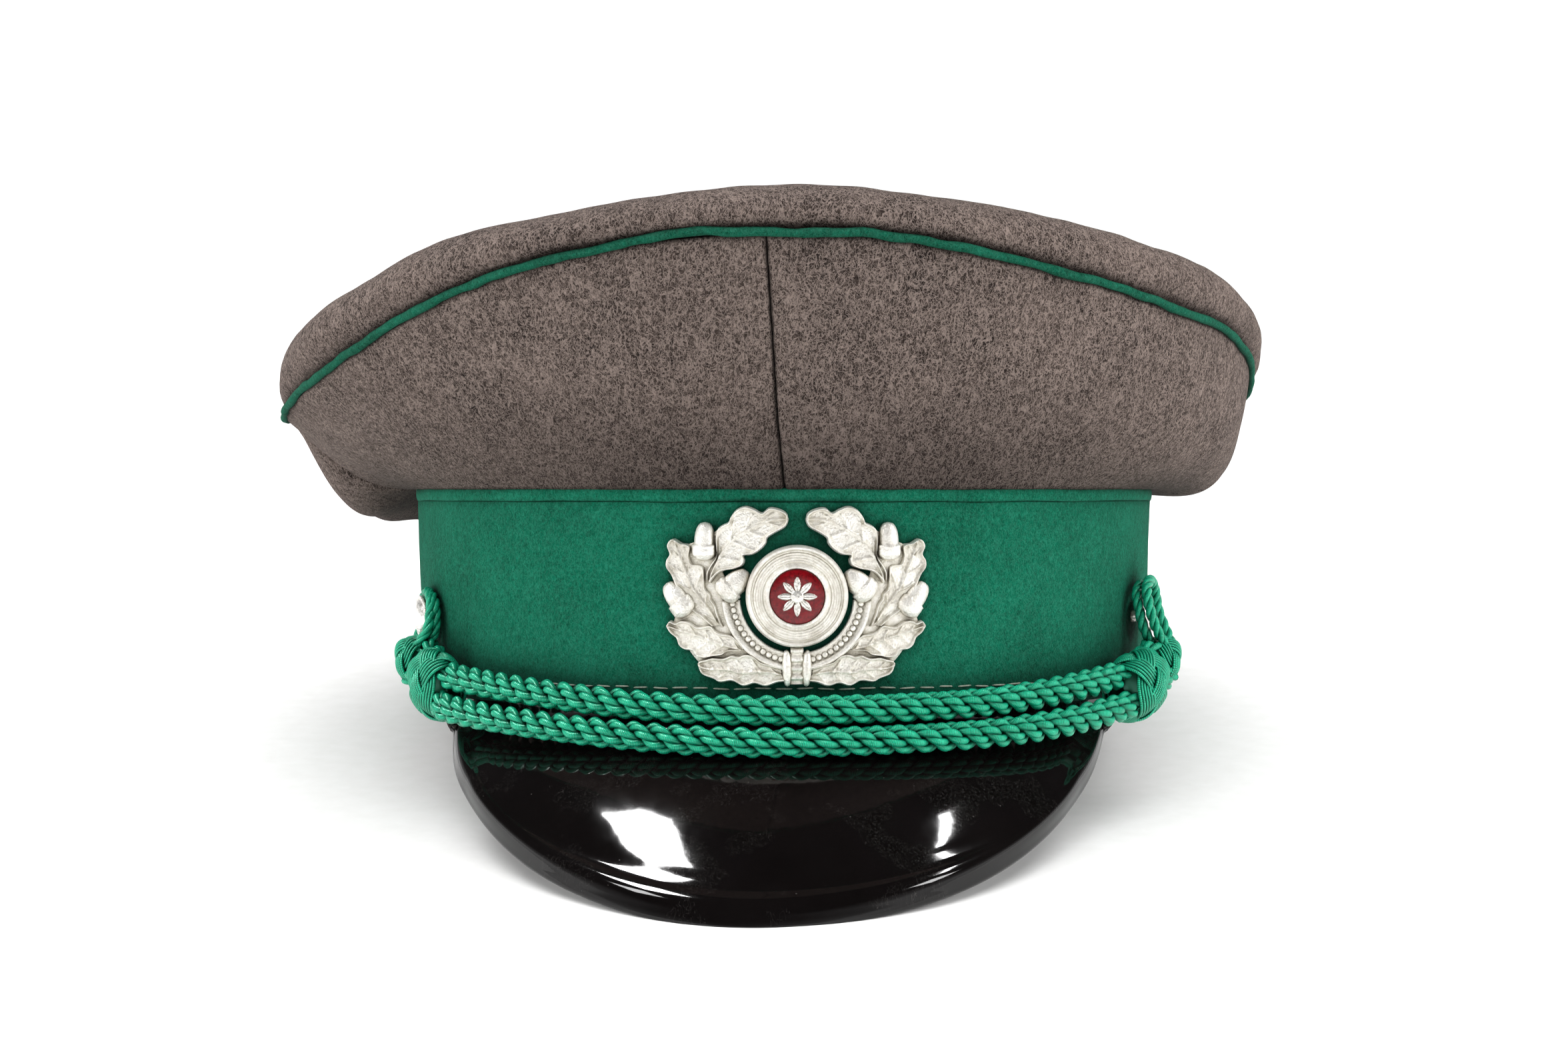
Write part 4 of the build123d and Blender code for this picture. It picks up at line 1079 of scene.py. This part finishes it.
# the side lining's rings below its top edge: height, half width, half length
LINING_SHEET, LINING_W, LINING_L = 0.5, 110.8, 112.0
LINING_RINGS = [(44.0, 85.4, 97.0), (53.5, 86.8, 98.4), (60.0, 97.5, 101.5), (68.0, 108.5, 105.0),
                (80.0, 110.6, 111.0)]
rings = [lifted(oval(width, length, around), height) for height, width, length in LINING_RINGS]
flat = oval(LINING_W, LINING_L, around)
rings = np.stack([*rings, lifted(flat, crown_level(flat[:, 1]) - 7.0)], 1)
rings[..., 2] = np.minimum(rings[..., 2], rings[:, -1:, 2] - np.linspace(3, 0, rings.shape[1])[None, :])
dense = np.stack([smooth_curve(row, 26) for row in rings])
pleats = np.sin(around * 46)[:, None] * np.sin(pi * np.linspace(0, 1, 26))[None, :] * 0.5
dense -= (pleats + 0.3 * waves(dense, 25, 71))[..., None] * lifted(oval_out(110, 112, around), 0.0)[:, None]
lining_side = Shape().grid(sheet_grid(dense, LINING_SHEET, True), loop_u=True).build(
    "lining_side_satin", LINING, "cap", ["lining_side"], "lining_satin")

share = np.linspace(1, 0.004, 40)[None, :, None]
flat = oval(110.2, 111.4, around)[:, None] * share
level = crown_level(flat[..., 1]) - 5.7 + 0.25 * waves(lifted(flat, 0.0), 30, 72)
lining_top = Shape().grid(sheet_grid(lifted(flat, level), LINING_SHEET, True), loop_u=True).build(
    "lining_top_satin", LINING, "cap", ["lining_top"], "lining_satin")

# spring hoop and wadding that follow the worn rim
point, out = rim(around)


def along_rim(section):
    """Section of (outward, height) pairs carried round the rim."""
    section = np.array(section)
    return point[:, None] + out[:, None] * section[None, :, :1] + Z * section[None, :, 1:]


strip = along_rim([(-9.1, -3.6), (-8.1, -3.6), (-8.1, 0.2), (-9.1, 0.2)])
Shape().grid(strip, loop_u=True).build("crown_hoop_strip", STEEL, "cap", ["crown_hoop"], "spring_steel",
                                       smooth=False)
section = smooth_curve([(-4.6, 0.3), (-3.6, 1.8), (-3.8, 4.6), (-6.2, 6.4), (-9.2, 5.6), (-10.0, 2.6),
                        (-8.4, 0.6), (-6.2, 0.1),
                        (-4.6, 0.3)], 25)[:-1]
pad = along_rim(section)
pad += 0.25 * waves(pad, 12, 73)[..., None] * Z
padding = Shape().grid(pad, loop_u=True).build("rim_wadding", WADDING, "cap", ["rim_padding"], "wadding")

for names, finish in ((("band_stiffener", "front_stay"), BOARD), (("sweat_shield",), CLEAR),
                      (("badge_prongs", "split_pin_right", "split_pin_left", "pin_washer_right",
                        "pin_washer_left"), STEEL)):
    for name in names:
        mesh = frame["nodes"][name].data
        mesh.materials.clear()
        mesh.materials.append(finish)

# --- floor, light and camera ---------------------------------------------------------------------
FLOOR = 14.0                                  # half the floor's side, in metres


def link(name, data):
    placed = bpy.data.objects.new(name, data)
    bpy.context.scene.collection.objects.link(placed)
    return placed


floor_mesh = bpy.data.meshes.new("floor")
floor_mesh.from_pydata([(-FLOOR, -FLOOR, 0), (FLOOR, -FLOOR, 0), (FLOOR, FLOOR, 0), (-FLOOR, FLOOR, 0)], [],
                       [(0, 1, 2, 3)])
paper = Paint("paper_floor", Roughness=0.9)
paper_colour = paper.ramp(paper.noise(6, 4.0), (0.3, (0.86, 0.86, 0.85)), (0.7, (0.9, 0.9, 0.895)))
floor_mesh.materials.append(paper.join("Base Color", paper_colour))
link("floor", floor_mesh)

# pale studio walls, bright near the horizon and dark overhead: (height of the direction, brightness)
WALLS = ((0.0, 1.0), (0.05, 1.3), (0.12, 1.3), (0.17, 0.55), (0.36, 0.045), (1.0, 0.035))
world = bpy.data.worlds.new("studio")
bpy.context.scene.world = world
world.use_nodes = True
sky = Nodes(world.node_tree, "Generated")
walls = sky.ramp(sky.part("Z"), *((height, (grey, grey, grey)) for height, grey in WALLS))
background = world.node_tree.nodes["Background"]
world.node_tree.links.new(walls.socket, background.inputs["Color"])
background.inputs["Strength"].default_value = 1.0


def softbox(name, place, target, width, height, watts, mirrored=True, along=(1, 0, 0)):
    """Rectangular lamp; its height runs along the given direction."""
    lamp = bpy.data.lights.new(name, "AREA")
    lamp.shape, lamp.size, lamp.size_y, lamp.energy = "RECTANGLE", width, height, watts
    holder = link(name, lamp)
    holder.location = place
    z = (Vector(place) - Vector(target)).normalized()
    y = (Vector(along) - z * z.dot(Vector(along))).normalized()
    holder.rotation_mode = "QUATERNION"
    holder.rotation_quaternion = Matrix((y.cross(z), y, z)).transposed().to_quaternion()
    holder.visible_glossy = mirrored
    return holder


# lamps that are only mirrored: they draw the highlights on the visor, the cord and the silver
for lamp in (softbox("key", (-0.655, 0.03, 1.44), (-0.029, -0.127, 0.013), 0.44, 0.35, 44),
             softbox("strip", (1.03, 0.04, 1.41), (0.034, -0.122, 0.015), 0.065, 0.40, 7,
                     along=(0.69, -0.72, 0)),
             softbox("rim_left", (-0.96, -0.49, 0.99), (-0.031, -0.137, 0.004), 0.30, 0.30, 6),
             softbox("rim_right", (1.18, -0.52, 0.70), (0.032, -0.133, 0.004), 0.30, 0.26, 5)):
    lamp.visible_diffuse = False
softbox("front", (-0.35, -1.35, 0.95), (0, -0.05, 0.07), 0.7, 0.5, 2, mirrored=False)
softbox("left", (-1.50, -0.35, 0.55), (0, -0.02, 0.09), 0.7, 0.6, 18, mirrored=False, along=(0, 0, 1))
softbox("right", (1.50, -0.40, 0.60), (0, -0.02, 0.09), 0.7, 0.6, 21, mirrored=False, along=(0, 0, 1))

sunlight = bpy.data.lights.new("ceiling", "SUN")      # even light on the floor, and not mirrored in the visor
sunlight.energy, sunlight.angle = 3.6, radians(75)
ceiling = link("ceiling", sunlight)
ceiling.rotation_euler = (radians(8), 0, 0)
ceiling.visible_glossy = False

camera = bpy.data.cameras.new("camera")
camera.lens, camera.sensor_width = 82.45, 36.0
camera.clip_start, camera.clip_end = 0.02, 60
holder = link("camera", camera)
bpy.context.scene.camera = holder
PITCH = radians(0.553)
axes = np.stack([SIDE, BACK, UP])
ahead = np.array((0.0, cos(PITCH), -sin(PITCH))) @ axes
above = np.array((0.0, sin(PITCH), cos(PITCH))) @ axes
turned = Matrix((SIDE, above, -ahead)).transposed().to_4x4()
turned.translation = Vector(to_row((0.0, -907.0, 50.0))[0])
holder.matrix_world = turned
bpy.context.scene.view_settings.view_transform = "Standard"
